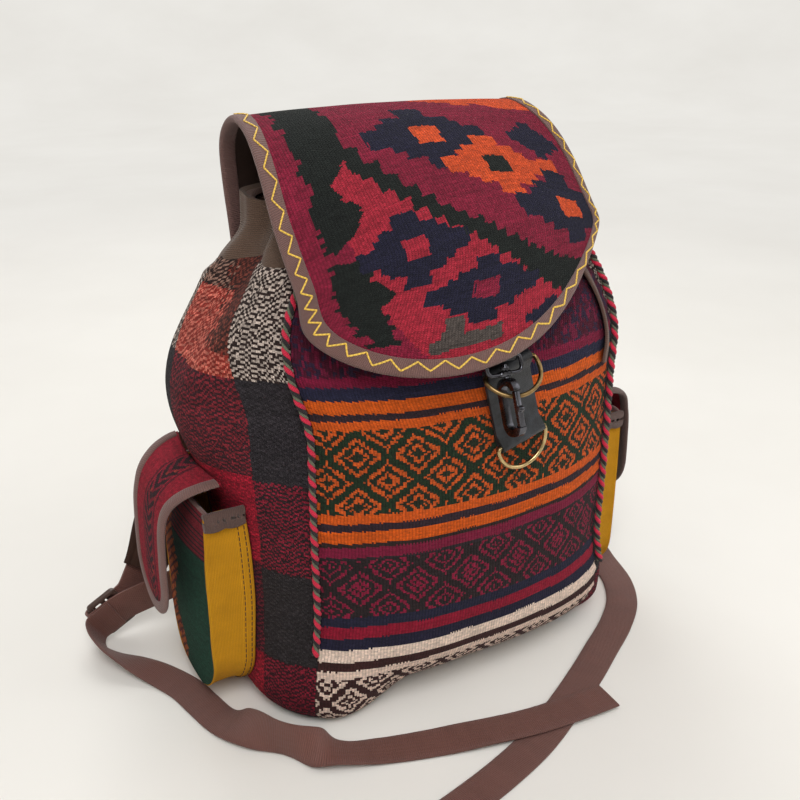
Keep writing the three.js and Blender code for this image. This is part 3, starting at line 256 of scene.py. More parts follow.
# the flat rounded outline of webbing, with ribs across its faces left to the material
def strapProfile(width, thick):
    def profile(u, v):
        a = u * 2 * np.pi
        return width / 2 * powered(np.cos(a), 0.28), thick / 2 * powered(np.sin(a), 0.55)
    return profile


print("materials")


def newMaterial(name):
    material = bpy.data.materials.new(name)
    material.use_nodes = True
    tree = material.node_tree
    return material, tree, tree.nodes["Principled BSDF"]


def math2(tree, kind, *values):
    node = tree.nodes.new("ShaderNodeMath")
    node.operation = kind
    for socket, value in zip(node.inputs, values):
        if isinstance(value, (int, float)):
            socket.default_value = value
        else:
            tree.links.new(value, socket)
    return node.outputs[0]


def plus(tree, a, b):
    return math2(tree, "ADD", a, b)


def times(tree, a, b):
    return math2(tree, "MULTIPLY", a, b)


# 0 to 1 and back once in every pitch
def ridges(tree, value, pitch):
    return math2(tree, "ABSOLUTE", math2(tree, "SINE", times(tree, value, math.pi / pitch)))


def noiseOn(tree, vector, scale, detail=3.0, rough=0.6):
    node = tree.nodes.new("ShaderNodeTexNoise")
    node.inputs["Scale"].default_value = scale
    node.inputs["Detail"].default_value = detail
    node.inputs["Roughness"].default_value = rough
    tree.links.new(vector, node.inputs["Vector"])
    return node.outputs["Fac"]


def stretch(tree, vector, scale):
    node = tree.nodes.new("ShaderNodeMapping")
    node.inputs["Scale"].default_value = scale
    tree.links.new(vector, node.inputs["Vector"])
    return node.outputs[0]


def mixColor(tree, kind, fac, a, b):
    node = tree.nodes.new("ShaderNodeMix")
    node.data_type = "RGBA"
    node.blend_type = kind
    for socket, value in ((node.inputs[0], fac), (node.inputs[6], a), (node.inputs[7], b)):
        if isinstance(value, (int, float, tuple)):
            socket.default_value = value
        else:
            tree.links.new(value, socket)
    return node.outputs[2]


# a colour darkened or lightened by a tone
def toned(tree, color, tone):
    grey = tree.nodes.new("ShaderNodeCombineColor")
    for k in range(3):
        tree.links.new(tone, grey.inputs[k])
    return mixColor(tree, "MULTIPLY", 1.0, color, grey.outputs[0])


def rampOn(tree, factor, low, high, lowAt=0.0, highAt=1.0):
    node = tree.nodes.new("ShaderNodeValToRGB")
    ends = node.color_ramp.elements
    ends[0].position, ends[0].color = lowAt, shade(low)
    ends[1].position, ends[1].color = highAt, shade(high)
    tree.links.new(factor, node.inputs[0])
    return node.outputs[0]


def bumpOn(tree, shader, height, strength, distance):
    node = tree.nodes.new("ShaderNodeBump")
    node.inputs["Strength"].default_value = strength
    node.inputs["Distance"].default_value = distance
    tree.links.new(height, node.inputs["Height"])
    tree.links.new(node.outputs[0], shader.inputs["Normal"])


# the piece's own texture coordinates, in mm: whole, across and along
def clothPlace(tree):
    uv = tree.nodes.new("ShaderNodeTexCoord").outputs["UV"]
    split = tree.nodes.new("ShaderNodeSeparateXYZ")
    tree.links.new(uv, split.inputs[0])
    return uv, split.outputs[0], split.outputs[1]


# woven cloth whose colours come from the piece's own yarns; ribs run up the cloth, wefts across it
def wovenMaterial(name, ribPitch, weftPitch, ribDepth=0.5, weftDepth=0.35, fuzz=0.35, color=None, flecks=0.25):
    material, tree, shader = newMaterial(name)
    uv, u, v = clothPlace(tree)
    level = plus(tree, v, times(tree, noiseOn(tree, uv, 0.16, 2), 1.6))
    rib = math2(tree, "POWER", ridges(tree, u, ribPitch), 0.6)
    halfStep = times(tree, math2(tree, "FLOOR", math2(tree, "DIVIDE", u, ribPitch)), weftPitch * 0.5)
    weft = ridges(tree, plus(tree, level, halfStep), weftPitch)
    fine = noiseOn(tree, stretch(tree, uv, (1.2, 3.0, 1.0)), 1.4, 4, 0.7)
    height = plus(tree, times(tree, rib, ribDepth), plus(tree, times(tree, weft, weftDepth), times(tree, fine, fuzz)))
    if color is None:
        node = tree.nodes.new("ShaderNodeAttribute")
        node.attribute_name = "yarn"
        base = node.outputs["Color"]
    else:
        base = shade(color)
    # the yarn colour is painted lighter on the crowns of ribs and wefts and darker in their hollows, painted shade of
    # the weave; the fine noise and the patches are random tone
    tone = plus(tree, plus(tree, times(tree, rib, 0.30), times(tree, weft, 0.22)), 0.50)
    tone = plus(tree, tone, times(tree, math2(tree, "SUBTRACT", fine, 0.5), 0.9))
    patchy = noiseOn(tree, uv, 0.05, 3)
    hollowShadedYarn = toned(tree, base, times(tree, tone, plus(tree, times(tree, patchy, 0.5), 0.78)))
    lint = math2(tree, "GREATER_THAN", noiseOn(tree, stretch(tree, uv, (0.5, 1.6, 1.0)), 0.9, 5, 0.75), 0.655)
    hollowShadedYarn = mixColor(tree, "MIX", times(tree, lint, flecks), hollowShadedYarn, shade((165, 140, 130)))
    tree.links.new(hollowShadedYarn, shader.inputs["Base Color"])
    shader.inputs["Roughness"].default_value = 0.92
    shader.inputs["Specular IOR Level"].default_value = 0.1
    shader.inputs["Sheen Weight"].default_value = 0.03
    shader.inputs["Sheen Roughness"].default_value = 0.6
    bumpOn(tree, shader, height, 0.9, 0.0011)
    return material


# ribbed tape: ribs lie across the strap, at a fixed pitch along it
def tapeMaterial(name, color, pitch=1.25, sheen=0.1, rough=0.62, depth=0.0005):
    material, tree, shader = newMaterial(name)
    uv, u, v = clothPlace(tree)
    rib = ridges(tree, plus(tree, v, times(tree, noiseOn(tree, uv, 0.12, 2), 0.8)), pitch)
    fine = noiseOn(tree, uv, 2.2, 3)
    weft = plus(tree, times(tree, ridges(tree, u, 0.9), 0.25), times(tree, fine, 0.3))
    # the tape is painted darker between its ribs, painted shade of the weave; the fine noise and the patches are random
    # tone
    tone = plus(tree, times(tree, rib, 0.28), plus(tree, times(tree, fine, 0.5), 0.55))
    tone = times(tree, tone, plus(tree, times(tree, noiseOn(tree, uv, 0.06, 3), 0.4), 0.8))
    tree.links.new(toned(tree, shade(color), tone), shader.inputs["Base Color"])
    shader.inputs["Roughness"].default_value = rough
    shader.inputs["Specular IOR Level"].default_value = 0.35
    shader.inputs["Sheen Weight"].default_value = sheen
    bumpOn(tree, shader, plus(tree, math2(tree, "POWER", rib, 0.7), weft), 0.8, depth)
    return material


def leatherMaterial(name, color, rough=0.42):
    material, tree, shader = newMaterial(name)
    place = tree.nodes.new("ShaderNodeTexCoord").outputs["Object"]
    cells = tree.nodes.new("ShaderNodeTexVoronoi")
    cells.feature = "DISTANCE_TO_EDGE"
    cells.inputs["Scale"].default_value = 900
    tree.links.new(place, cells.inputs["Vector"])
    grain = math2(tree, "MINIMUM", cells.outputs["Distance"], 0.25)
    fine = noiseOn(tree, place, 1600, 3)
    creases = noiseOn(tree, place, 120, 4)
    height = plus(tree, times(tree, grain, 2.0), plus(tree, times(tree, fine, 0.3), creases))
    dark, light = [c * 0.72 for c in color], [min(255, c * 1.35 + 6) for c in color]
    tree.links.new(rampOn(tree, creases, dark, light, 0.35, 0.75), shader.inputs["Base Color"])
    shader.inputs["Specular IOR Level"].default_value = 0.4
    tree.links.new(plus(tree, times(tree, creases, 0.25), rough - 0.1), shader.inputs["Roughness"])
    bumpOn(tree, shader, height, 0.45, 0.0004)
    return material


def metalMaterial(name, color, rough=0.25, tarnish=0.5):
    material, tree, shader = newMaterial(name)
    place = tree.nodes.new("ShaderNodeTexCoord").outputs["Object"]
    clouds = noiseOn(tree, place, 90, 4)
    scratches = noiseOn(tree, stretch(tree, place, (1, 1, 6)), 1500, 2)
    dulled = rampOn(tree, clouds, [c * tarnish for c in color], color, 0.3, 0.6)
    tree.links.new(dulled, shader.inputs["Base Color"])
    shader.inputs["Metallic"].default_value = 1.0
    tree.links.new(plus(tree, times(tree, clouds, 0.3), rough - 0.12), shader.inputs["Roughness"])
    bumpOn(tree, shader, plus(tree, scratches, clouds), 0.12, 0.0002)
    return material


def plasticMaterial(name, color):
    material, tree, shader = newMaterial(name)
    place = tree.nodes.new("ShaderNodeTexCoord").outputs["Object"]
    clouds = noiseOn(tree, place, 60, 3)
    dark, light = [c * 0.8 for c in color], [min(255, c * 1.3 + 5) for c in color]
    tree.links.new(rampOn(tree, clouds, dark, light), shader.inputs["Base Color"])
    tree.links.new(plus(tree, times(tree, clouds, 0.25), 0.3), shader.inputs["Roughness"])
    bumpOn(tree, shader, noiseOn(tree, place, 2400, 2), 0.15, 0.0002)
    return material


frontCloth = wovenMaterial("front woven cloth", 2.2, 1.1, flecks=0.06)
sideCloth = wovenMaterial("side herringbone cloth", 1.6, 1.5, ribDepth=0.2, weftDepth=0.5, fuzz=0.6, flecks=0.05)
lidCloth = wovenMaterial("lid tapestry cloth", 2.0, 1.3, ribDepth=0.45, weftDepth=0.4, fuzz=0.55, flecks=0.05)
pocketCloth = wovenMaterial("pocket woven cloth", 1.7, 1.2, ribDepth=0.35, weftDepth=0.4, fuzz=0.5, flecks=0.04)
backCloth = wovenMaterial("back woven cloth", 2.2, 1.1, flecks=0.04)
yellowCloth = wovenMaterial("yellow canvas", 0.9, 0.9, ribDepth=0.25, weftDepth=0.25, fuzz=0.3, color=(212, 150, 28), flecks=0.02)
liningCloth = wovenMaterial("lining cloth", 0.7, 0.7, ribDepth=0.2, weftDepth=0.2, fuzz=0.3, color=(62, 46, 40), flecks=0.02)
padCloth = wovenMaterial("strap pad canvas", 1.0, 1.0, ribDepth=0.3, weftDepth=0.3, fuzz=0.35, color=(72, 50, 42), flecks=0.03)
collarTape = tapeMaterial("collar ribbed cloth", (92, 70, 56), pitch=1.5, rough=0.8, sheen=0.15, depth=0.0006)
bindingTape = tapeMaterial("grosgrain binding", (112, 82, 77), pitch=1.3, rough=0.75, sheen=0.15)
darkBinding = tapeMaterial("dark grosgrain binding", (88, 66, 60), pitch=1.3, rough=0.8, sheen=0.15)
webbingTape = tapeMaterial("ribbed webbing", (108, 70, 62), pitch=1.35, rough=0.55, sheen=0.1)
cordCloth = tapeMaterial("drawstring tape", (92, 66, 56), pitch=1.4, rough=0.7)
goldThread = tapeMaterial("gold thread", (232, 190, 80), pitch=2.4, rough=0.35, sheen=0.0, depth=0.0003)
darkThread = tapeMaterial("dark thread", (62, 34, 30), pitch=1.2, rough=0.7, sheen=0.0, depth=0.0002)
blackThread = tapeMaterial("black thread", (38, 36, 38), pitch=1.2, rough=0.7, sheen=0.0, depth=0.0002)
redStrand = tapeMaterial("red cord strand", (205, 34, 66), pitch=0.9, rough=0.8)
blackStrand = tapeMaterial("black cord strand", (38, 34, 36), pitch=0.9, rough=0.8)
greyStrand = tapeMaterial("grey cord strand", (104, 108, 88), pitch=0.9, rough=0.8)
blackLeather = leatherMaterial("black grained leather", (36, 38, 42))
agedBrass = metalMaterial("aged brass", (168, 138, 92), rough=0.32, tarnish=0.6)
paleBrass = metalMaterial("pale brass", (205, 180, 130), rough=0.25, tarnish=0.75)
blackNickel = metalMaterial("black nickel", (96, 96, 102), rough=0.2, tarnish=0.55)
brownPlastic = plasticMaterial("brown moulded plastic", (62, 44, 38))


def finished(piece, material, body="bag", *replaced, slot=None):
    piece.data.materials.clear()
    piece.data.materials.append(material)
    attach(piece, body)
    if replaced:
        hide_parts(*replaced)
    return piece


def joined(name, parts):
    deselect()
    for part in parts:
        part.select_set(True)
    bpy.context.view_layer.objects.active = parts[0]
    bpy.ops.object.join()
    parts[0].name = name
    return parts[0]


# a round thread or cord along a line
def thread(name, line, radius, sides=8):
    line = np.asarray(line, float)
    tangent = unit(np.gradient(line, axis=0))
    side = np.cross(tangent, (0.0, 0.0, 1.0))
    weak = np.linalg.norm(side, axis=1) < 0.2
    side[weak] = np.cross(tangent[weak], (1.0, 0.0, 0.0))
    for k in range(1, len(side)):  # keeps the frame from turning over between two steps
        if np.dot(side[k], side[k - 1]) < 0:
            side[k] = -side[k]
    side = unit(side)
    out = np.cross(tangent, side)

    def profile(u, v):
        return radius * np.cos(u * 2 * np.pi), radius * np.sin(u * 2 * np.pi)
    return sweep(name, line, side, out, profile, sides)


print("strap tails")
# each point of a tail: its place on the floor and above it, then the way its width lies
tailSettings = {
    "width": 25.0, "thick": 1.8, "rows": 420,
    "lockCentre": (217.0, 97.0, 23.0), "lockAlong": (0.87, 0.0, -0.49), "fromLock": [(-3, -6.2), (7, -6.4), (16, -6.6)],
    "left": [(-233, 80, 12.2, -.5, 0, .85), (-227, 64, 10, -.72, -.15, .66), (-213, 46, 6, -.9, -.25, .32),
             (-199, 28, 2.2, -.97, -.3, .08), (-188, 6, 1.25, -.97, -.2, 0), (-183, -14, 1.25, -.97, -.2, 0),
             (-177, -38, 2.3, -.95, -.3, -.05), (-168, -62, 10.8, -.6, -.5, -.6), (-154, -84, 13.6, -.1, -.1, -1),
             (-138, -100, 11.8, .3, -.6, -.7), (-118, -110, 5, .4, -.9, -.08), (-92, -118, 1.7, .3, -.95, 0),
             (-60, -128, 2, .28, -.96, 0), (-30, -137, 4, .22, -.97, 0), (8, -145, 4.2, .12, -.99, 0),
             (40, -148, 4.2, .06, -1, 0), (72, -149.5, 4.1, .04, -1, 0)],
    "right": [(233, 80, 12.2, .5, 0, .85), (227, 64, 10, .72, -.15, .66), (213, 46, 6, .9, -.25, .32),
              (199, 28, 2.2, .97, -.3, .08), (190, 4, 1.25, .95, -.3, 0), (177, -36, 1.25, .9, -.4, 0),
              (160, -62, 1.25, .78, -.62, 0), (134, -84, 1.25, .6, -.8, 0), (104, -103, 1.25, .55, -.84, 0),
              (70, -124, 1.25, .52, -.85, 0), (36, -143, 1.25, .5, -.87, 0), (0, -161, 1.25, .42, -.9, 0),
              (-38, -174, 1.25, .3, -.95, 0), (-78, -184, 1.25, .22, -.97, 0), (-108, -190, 1.25, .2, -.98, 0)],
}


# points in a ladder lock's own directions: u along it, v out of its face
def lockPoints(side, pairs):
    centre = np.array(tailSettings["lockCentre"]) * (side, 1, 1)
    along = unit(np.array(tailSettings["lockAlong"]) * (side, 1, 1))
    face = np.array([0.0, 1.0, 0.0])
    across = np.cross(face, along)
    if across[2] < 0:
        across = -across
    return [tuple(centre + along * u + face * v) + tuple(across) for u, v in pairs]


for side, key in ((-1, "left"), (1, "right")):
    dense = curveThrough(lockPoints(side, tailSettings["fromLock"]) + tailSettings[key], 24)
    line = evenly(dense, tailSettings["rows"])
    tangent, ways, out = frameAlong(line[:, :3], line[:, 3:])
    flat = strapProfile(tailSettings["width"], tailSettings["thick"])
    tail = sweep(f"{key}_tail_webbing", line[:, :3], ways, out, flat, 28, uvScale=1.9)
    finished(tail, webbingTape, "bag", f"{key}_strap_tail", slot="webbing")

print("body shape")
body = {
    "halfWidth": 150, "narrowing": 14, "frontDepth": 100, "belly": 3, "lean": 46, "backDepth": 88, "backLean": 4,
    "leftBulge": 27, "rightBulge": 7, "dent": 30, "bottomRadius": 20, "frontTop": 294, "leftTop": 316, "rightTop": 302,
    "backTop": 292, "backSeam": 122, "turn": 20 * math.pi / 2, "tuck": 50, "tuckHeight": 60, "tuckPower": 2.2,
    "backPower": 4.0, "hem": 2.6,
}


# half width, depth to the front and to the back, and how square the front is, at a height
def sectionAt(z):
    side = body["halfWidth"] - body["narrowing"] * smooth((z - 240) / 85)
    front = body["frontDepth"] + body["belly"] * np.exp(-((z - 150) / 90) ** 2) - body["lean"] * smooth((z - 237) / 95)
    back = body["backDepth"] - body["backLean"] * smooth((z - 237) / 95)
    return side, front, back, 2.2 + 0.9 * (1 - smooth(z / 95))


# the sides' bulge low down and their dent under the lid
def sideSwell(x, y, z):
    swell = np.where(x < 0, body["leftBulge"], body["rightBulge"]) * np.exp(-((z - 222) / 58) ** 2)
    dent = body["dent"] * smooth((z - 225) / 100) * np.exp(-((y - 15) / 30) ** 2)
    turn = (np.abs(x) / np.maximum(np.hypot(x, y), 1e-6)) ** 3
    return np.sign(x) * turn * (swell * smooth((y + 70) / 75) - dent)


# how far the front's foot turns under the bag
def tuckAt(angle, z):
    signed = np.where(np.asarray(angle) > 180, np.asarray(angle) - 360, angle)
    around = np.where(signed < 0, smooth((signed + 56) / 24), smooth((78 - signed) / 22))
    return body["tuck"] * around * np.maximum(0, 1 - np.maximum(0, z) / body["tuckHeight"]) ** body["tuckPower"]


# a point of the cloth at an angle from the front's middle, positive to the right
def bodyPoint(angle, z, inset=0.0):
    a = np.radians(angle)
    side, front, back, power = sectionAt(z)
    s, c = np.sin(a), np.cos(a)
    depth = np.where(c > 0, front - tuckAt(angle, z), back) - inset
    p = np.where(c > 0, power, body["backPower"])
    reach = ((np.abs(s) / (side - inset)) ** p + (np.abs(c) / depth) ** p) ** (-1 / p)
    x, y = reach * s, -reach * c
    return x + sideSwell(x, y, z), y, z * np.ones_like(x)


# height and inset of a cloth's run from the base's edge, round the bottom corner and up the wall
def upTheWall(run):
    r = body["bottomRadius"]
    angle = np.minimum(run, body["turn"]) / r
    z = np.where(run >= body["turn"], r + run - body["turn"], r - r * np.cos(angle))
    return z, np.where(run >= body["turn"], 0.0, r - r * np.sin(angle))


# how high the cloth reaches round the bag, where the collar starts
def clothTop(angle):
    angle = np.asarray(angle, float)
    r = np.abs(angle)
    sideTop = np.where(angle < 0, body["leftTop"], body["rightTop"])
    return np.where(r < 90, body["frontTop"] + (sideTop - body["frontTop"]) * smooth((r - 30) / 45),
                    sideTop + (body["backTop"] - sideTop) * smooth((r - 90) / 40))


# the angle of the seam between front and side
def frontSeam(z):
    return 58.3 + 9.2 * smooth((z - 210) / 84)


# small waves and puckers, in mm inwards, so that no cloth is a machined face
def softWaves(a, z, near):
    waves = 0.5 + 0.28 * np.sin(a * 0.19 + z * 0.021 + 1.3) + 0.22 * np.sin(z * 0.061 - a * 0.07)
    pucker = 0.45 * np.exp(-near / 9.0) * (1 + np.sin(z * 2 * np.pi / 9.5 + np.sin(z * 0.13)))
    return 0.7 * waves + pucker


# how far a side's upper cloth gathers into soft upright folds under the lid, in mm
def neckFolds(a, z):
    grow = smooth((z - 262) / 45)
    return grow * (1.3 + 1.3 * np.sin(np.radians(a) * 17 + 0.6 * np.sin(z * 0.05)))


# the cloth between two seams, whose angles are functions of the height
def panelPlace(fromAngle, toAngle):
    def place(u, v):
        z = np.full_like(u, 150.0)
        for _ in range(3):  # the seam's angle depends on the height, so this settles in three rounds
            a = fromAngle(z) + (toAngle(z) - fromAngle(z)) * u
            run = (body["turn"] + clothTop(a) - body["bottomRadius"]) * v
            z, inset = upTheWall(run)
        near = np.minimum(u, 1 - u) * 150
        tuckIn = 4.5 * smooth((z - clothTop(a) + 11) / 11) ** 1.5  # under the collar's edge
        return bodyPoint(a, z, inset + softWaves(a, z, near) * smooth(run / 40) + neckFolds(a, z) + tuckIn)
    return place


# arc lengths over a placed grid, so that the weave keeps its real size all over
def panelUv(place, mirror=False):
    cols, rows = 120, 60
    su, sv = np.meshgrid(np.linspace(0, 1, cols + 1), np.linspace(0, 1, rows + 1))
    x, y, z = place(su.ravel(), sv.ravel())
    pts = np.stack([x, y, z], 1).reshape(rows + 1, cols + 1, 3)
    arc = np.concatenate([np.zeros((rows + 1, 1)), np.cumsum(np.linalg.norm(np.diff(pts, axis=1), axis=2), 1)], 1)
    if mirror:
        arc = arc[:, -1:] - arc
    runs = (body["turn"] + 300 - 20) * sv - body["turn"] + 20

    def uv(u, v):
        fu, fv = u * cols, v * rows
        iu, iv = np.clip(fu.astype(int), 0, cols - 1), np.clip(fv.astype(int), 0, rows - 1)
        tu, tv = fu - iu, fv - iv
        low = arc[iv, iu] * (1 - tu) * (1 - tv) + arc[iv, iu + 1] * tu * (1 - tv)
        across = low + arc[iv + 1, iu] * (1 - tu) * tv + arc[iv + 1, iu + 1] * tu * tv
        height = place(u, v)[2]
        return across, np.where(height > 20, height, runs[iv, 0] * (1 - tv) + runs[iv + 1, 0] * tv)
    return uv


# the weave's colour: a base, a small change for every yarn and patches of dye
def yarns(color, u, v, rib=2.2, weft=1.1, spread=0.16):
    k = np.floor(u / rib) * 37.7 + np.floor(v / weft) * 91.3
    grain = np.sin(k) * 43758.5453
    grain = grain - np.floor(grain)
    row = np.sin(np.floor(v / weft) * 17.17) * 9137.31
    row = row - np.floor(row)
    return np.clip(color * (1 + spread * (grain - 0.5) + 0.5 * spread * (row - 0.5))[:, None], 0, 255)


# a fixed scatter between 0 and 1 for a pair of whole numbers
def hashed(a, b):
    h = np.sin(a * 127.1 + b * 311.7) * 43758.5453
    return h - np.floor(h)


frontSettings = {
    # lower and upper height of each band, and its colour
    "bands": [(254, 400, (78, 24, 44)), (248, 254, (122, 26, 56)), (240, 248, (40, 40, 62)), (231.5, 240, (214, 92, 26)),
              (227, 231.5, (52, 38, 44)), (221, 227, (208, 88, 28)), (163, 221, (40, 46, 34)), (156.5, 163, (208, 88, 28)),
              (151, 156.5, (52, 38, 46)), (142.5, 151, (212, 90, 24)), (139.5, 142.5, (50, 38, 36)), (132, 139.5, (124, 28, 58)),
              (130, 132, (44, 38, 42)), (86, 130, (44, 36, 38)), (78.5, 86, (38, 38, 58)), (70, 78.5, (142, 24, 48)),
              (62, 70, (36, 34, 54)), (53, 62, (238, 214, 198)), (46.5, 53, (62, 36, 36)), (40.5, 46.5, (236, 210, 194)),
              (-40, 40.5, (62, 36, 36))],
    "orange": (204, 88, 36), "green": (34, 50, 34), "crimson": (138, 30, 60), "cream": (234, 208, 192),
    "dusk": (52, 36, 58), "streak": (112, 30, 58), "rib": 2.2,
}


# 0 in the middle of each stepped diamond to 1 on its edge
def stepped(u, v, centreU, centreV, periodU, periodV, cellU=2.2, cellV=1.6):
    du = np.abs((u - centreU + periodU / 2) % periodU - periodU / 2)
    dv = np.abs((v - centreV + periodV / 2) % periodV - periodV / 2)
    du, dv = np.floor(du / cellU + 0.5) * cellU, np.floor(dv / cellV + 0.5) * cellV
    q = du / (periodU / 2) + dv / (periodV / 2)
    return np.minimum(q, 2 - q)


def frontPattern(u, v):
    s = frontSettings
    level = v - 0.45 * np.abs(np.sin(np.pi * u / s["rib"])) + 0.3 * np.sin(u * 0.11) + 2.2 * smooth((u - 150) / 120)
    color = np.zeros((len(u), 3))
    for low, high, band in s["bands"]:
        color[(level >= low) & (level < high)] = band
    q = stepped(u, level, 27, 203, 38.5, 34.4)
    inside = (level >= 163) & (level < 221)
    color[inside & (((q > 0.24) & (q < 0.40)) | ((q > 0.64) & (q < 0.80)))] = s["orange"]
    color[inside & (q > 0.86)] = s["green"]
    q = stepped(u, level, 27, 108, 38.5, 34.0)
    inside = (level >= 86) & (level < 130)
    color[inside & (((q < 0.12) | (q > 0.30) & (q < 0.42)) | ((q > 0.66) & (q < 0.80)))] = s["crimson"]
    q = stepped(u, level, 24, 22, 33.0, 30.0)
    color[(level < 40.5) & (((q > 0.16) & (q < 0.34)) | ((q > 0.58) & (q < 0.80)))] = s["cream"]
    q = stepped(u, level, 27, 272, 38.5, 30.0, 2.2, 2.2)
    ribAt = np.floor(u / s["rib"])
    flecked = (q > 0.35) & (q < 0.6) | (hashed(ribAt, np.floor(level / 2.2)) > 0.78)
    color[(level >= 254) & flecked] = s["dusk"]
    color[(level >= 254) & (hashed(ribAt, np.floor(level / 4.4)) > 0.8)] = s["streak"]
    return yarns(color, u, v)


print("front and side cloth")
frontPlace = panelPlace(lambda z: -frontSeam(z), frontSeam)
frontPiece = layGrid("front_cloth", 216, 250, frontPlace, panelUv(frontPlace), smoothAngle=70)
weave(frontPiece, frontPattern)
turnEdgesIn(frontPiece, body["hem"])
finished(frontPiece, frontCloth, "bag", "front_panel", slot="front_cloth")

sideSettings = {
    "columns": [0, 42, 112, 152, 400],
    # lower and upper height of each check, then its light and its dark yarn
    # in both lists the top check, above 317 mm and above 303 mm, is painted shade of the dark hollow under the lid, not
    # a yarn colour
    "darkRows": [(317, 500, (34, 32, 42), (30, 28, 34)), (250, 317, (192, 176, 166), (50, 38, 36)),
                 (182, 250, (54, 50, 54), (42, 38, 42)), (115, 182, (134, 34, 52), (46, 32, 36)),
                 (48, 115, (52, 48, 50), (40, 36, 38)), (8, 48, (130, 30, 48), (56, 24, 32)),
                 (-40, 8, (50, 46, 48), (38, 34, 36))],
    "redRows": [(303, 500, (58, 42, 38), (30, 24, 24)), (288, 303, (150, 116, 102), (48, 32, 30)),
                (250, 288, (206, 112, 96), (146, 50, 42)), (185, 250, (128, 40, 50), (60, 32, 38)),
                (118, 185, (176, 30, 52), (134, 24, 42)), (48, 118, (106, 34, 46), (50, 26, 34)),
                (-40, 48, (168, 30, 50), (124, 24, 40))],
}


def sidePattern(u, v):
    chevron = np.abs((u + 7) % 28 - 14)
    slant = v + chevron * 0.62 + 0.5 * np.sin(u * 0.7 + v * 0.2)
    light = (slant / 3.3) % 1 < 0.44
    light = light ^ (hashed(np.floor(u / 1.6), np.floor(slant / 3.3)) > 0.9)
    column = np.searchsorted(sideSettings["columns"], u) - 1
    color = np.zeros((len(u), 3))
    for kind, rows in ((0, sideSettings["darkRows"]), (1, sideSettings["redRows"])):
        for low, high, first, second in rows:
            pick = (column % 2 == kind) & (v >= low) & (v < high)
            color[pick & light] = first
            color[pick & ~light] = second
    # in the second column, under the lid, a ragged patch painted darker: painted shade of a fold
    ragged = 26 * (hashed(np.floor(u / 1.6), np.floor(v / 3.3)) - 0.5)
    foldShadePatch = (column == 1) & (v > 262) & (u < 58 + 0.9 * (v - 262) + ragged)
    color[foldShadePatch & light] = (122, 60, 50)
    color[foldShadePatch & ~light] = (62, 34, 30)
    return yarns(color, u, v, 1.6, 1.5, 0.3)


for side, key in ((-1, "left"), (1, "right")):
    if side < 0:
        place = panelPlace(lambda z: -body["backSeam"] + 0 * z, lambda z: -frontSeam(z))
    else:
        place = panelPlace(frontSeam, lambda z: body["backSeam"] + 0 * z)
    piece = layGrid(f"{key}_side_cloth", 160, 232, place, panelUv(place, mirror=side < 0), smoothAngle=70)
    weave(piece, sidePattern)
    turnEdgesIn(piece, body["hem"])
    finished(piece, sideCloth, "bag", f"{key}_side_panel", slot="side_cloth")

print("back and base cloth")
backSettings = {
    "stripes": [(0, (86, 28, 40)), (26, (44, 38, 44)), (34, (150, 62, 34)), (38, (44, 38, 44)), (46, (92, 28, 42)),
                (78, (36, 38, 56)), (88, (92, 28, 42))],
    "period": 96, "seamPlay": 0.3, "baseColor": (58.0, 40.0, 38.0),
}


def backPattern(u, v):
    at = (v + 0.4 * np.abs(np.sin(np.pi * u / 2.2)) + 300) % backSettings["period"]
    color = np.zeros((len(u), 3))
    for start, stripe in backSettings["stripes"]:
        color[at >= start] = stripe
    return yarns(color, u, v)


def backPlace(u, v):
    first = body["backSeam"] + backSettings["seamPlay"]
    a = first + (360 - 2 * first) * u
    run = (body["turn"] + body["backTop"] - body["bottomRadius"]) * v
    z, inset = upTheWall(run)
    near = np.minimum(u, 1 - u) * 250
    return bodyPoint(a, z, inset + 0.4 * softWaves(a, z, near) * smooth(run / 40))


backPiece = layGrid("back_cloth", 150, 170, backPlace, panelUv(backPlace), smoothAngle=70)
weave(backPiece, backPattern)
turnEdgesIn(backPiece, body["hem"])
finished(backPiece, backCloth, "bag", "back_panel", slot="back_cloth")


def basePlace(u, v):
    r = 0.002 + 0.998 * v
    x, y, z = bodyPoint(u * 360, np.zeros_like(u), 19.6)
    return x * r, y * r, 0.15 + 1.3 * (1 - smooth(v / 0.95)) + 0 * x


basePiece = layGrid("base_cloth", 120, 34, basePlace, lambda u, v: basePlace(u, v)[:2], smoothAngle=70)
weave(basePiece, lambda u, v: yarns(np.tile(backSettings["baseColor"], (len(u), 1)), u, v))
mergeDoubles(basePiece, 0.0006)
if sum(p.normal.z * p.area for p in basePiece.data.polygons) > 0:  # its face belongs underneath
    editAll(basePiece)
    bpy.ops.mesh.flip_normals()
    bpy.ops.object.mode_set(mode="OBJECT")
finished(basePiece, backCloth, "bag", "base_panel", slot="back_cloth")

print("seam cords")
pipingSettings = {
    "radius": 2.6, "orbit": 1.25, "twist": 10.5, "sunk": 0.3, "bottom": 60,
    "strands": (("red", redStrand, 1.5), ("black", blackStrand, 1.3), ("grey", greyStrand, 0.95)),
}
for side, key in ((-1, "left"), (1, "right")):
    z = np.linspace(pipingSettings["bottom"], float(clothTop(side * 67.5)) - 2, 300)
    x, y, zz = bodyPoint(side * frontSeam(z), z, pipingSettings["sunk"] - pipingSettings["radius"])
    line = np.stack([x, y, zz], 1)
    tangent = unit(np.gradient(line, axis=0))
    sideways = unit(np.cross(tangent, unit(np.stack([x, y, 0 * z], 1))))
    out = np.cross(sideways, tangent)
    run = lengthsAlong(line)
    for k, (strandName, material, thickness) in enumerate(pipingSettings["strands"]):
        turn = run / pipingSettings["twist"] * 2 * np.pi + k * 2 * np.pi / 3
        strand = line + pipingSettings["orbit"] * (sideways * np.cos(turn)[:, None] + out * np.sin(turn)[:, None])
        piece = thread(f"{key}_{strandName}_cord", strand, thickness)
        finished(piece, material, "bag", f"{key}_piping", slot="piping")

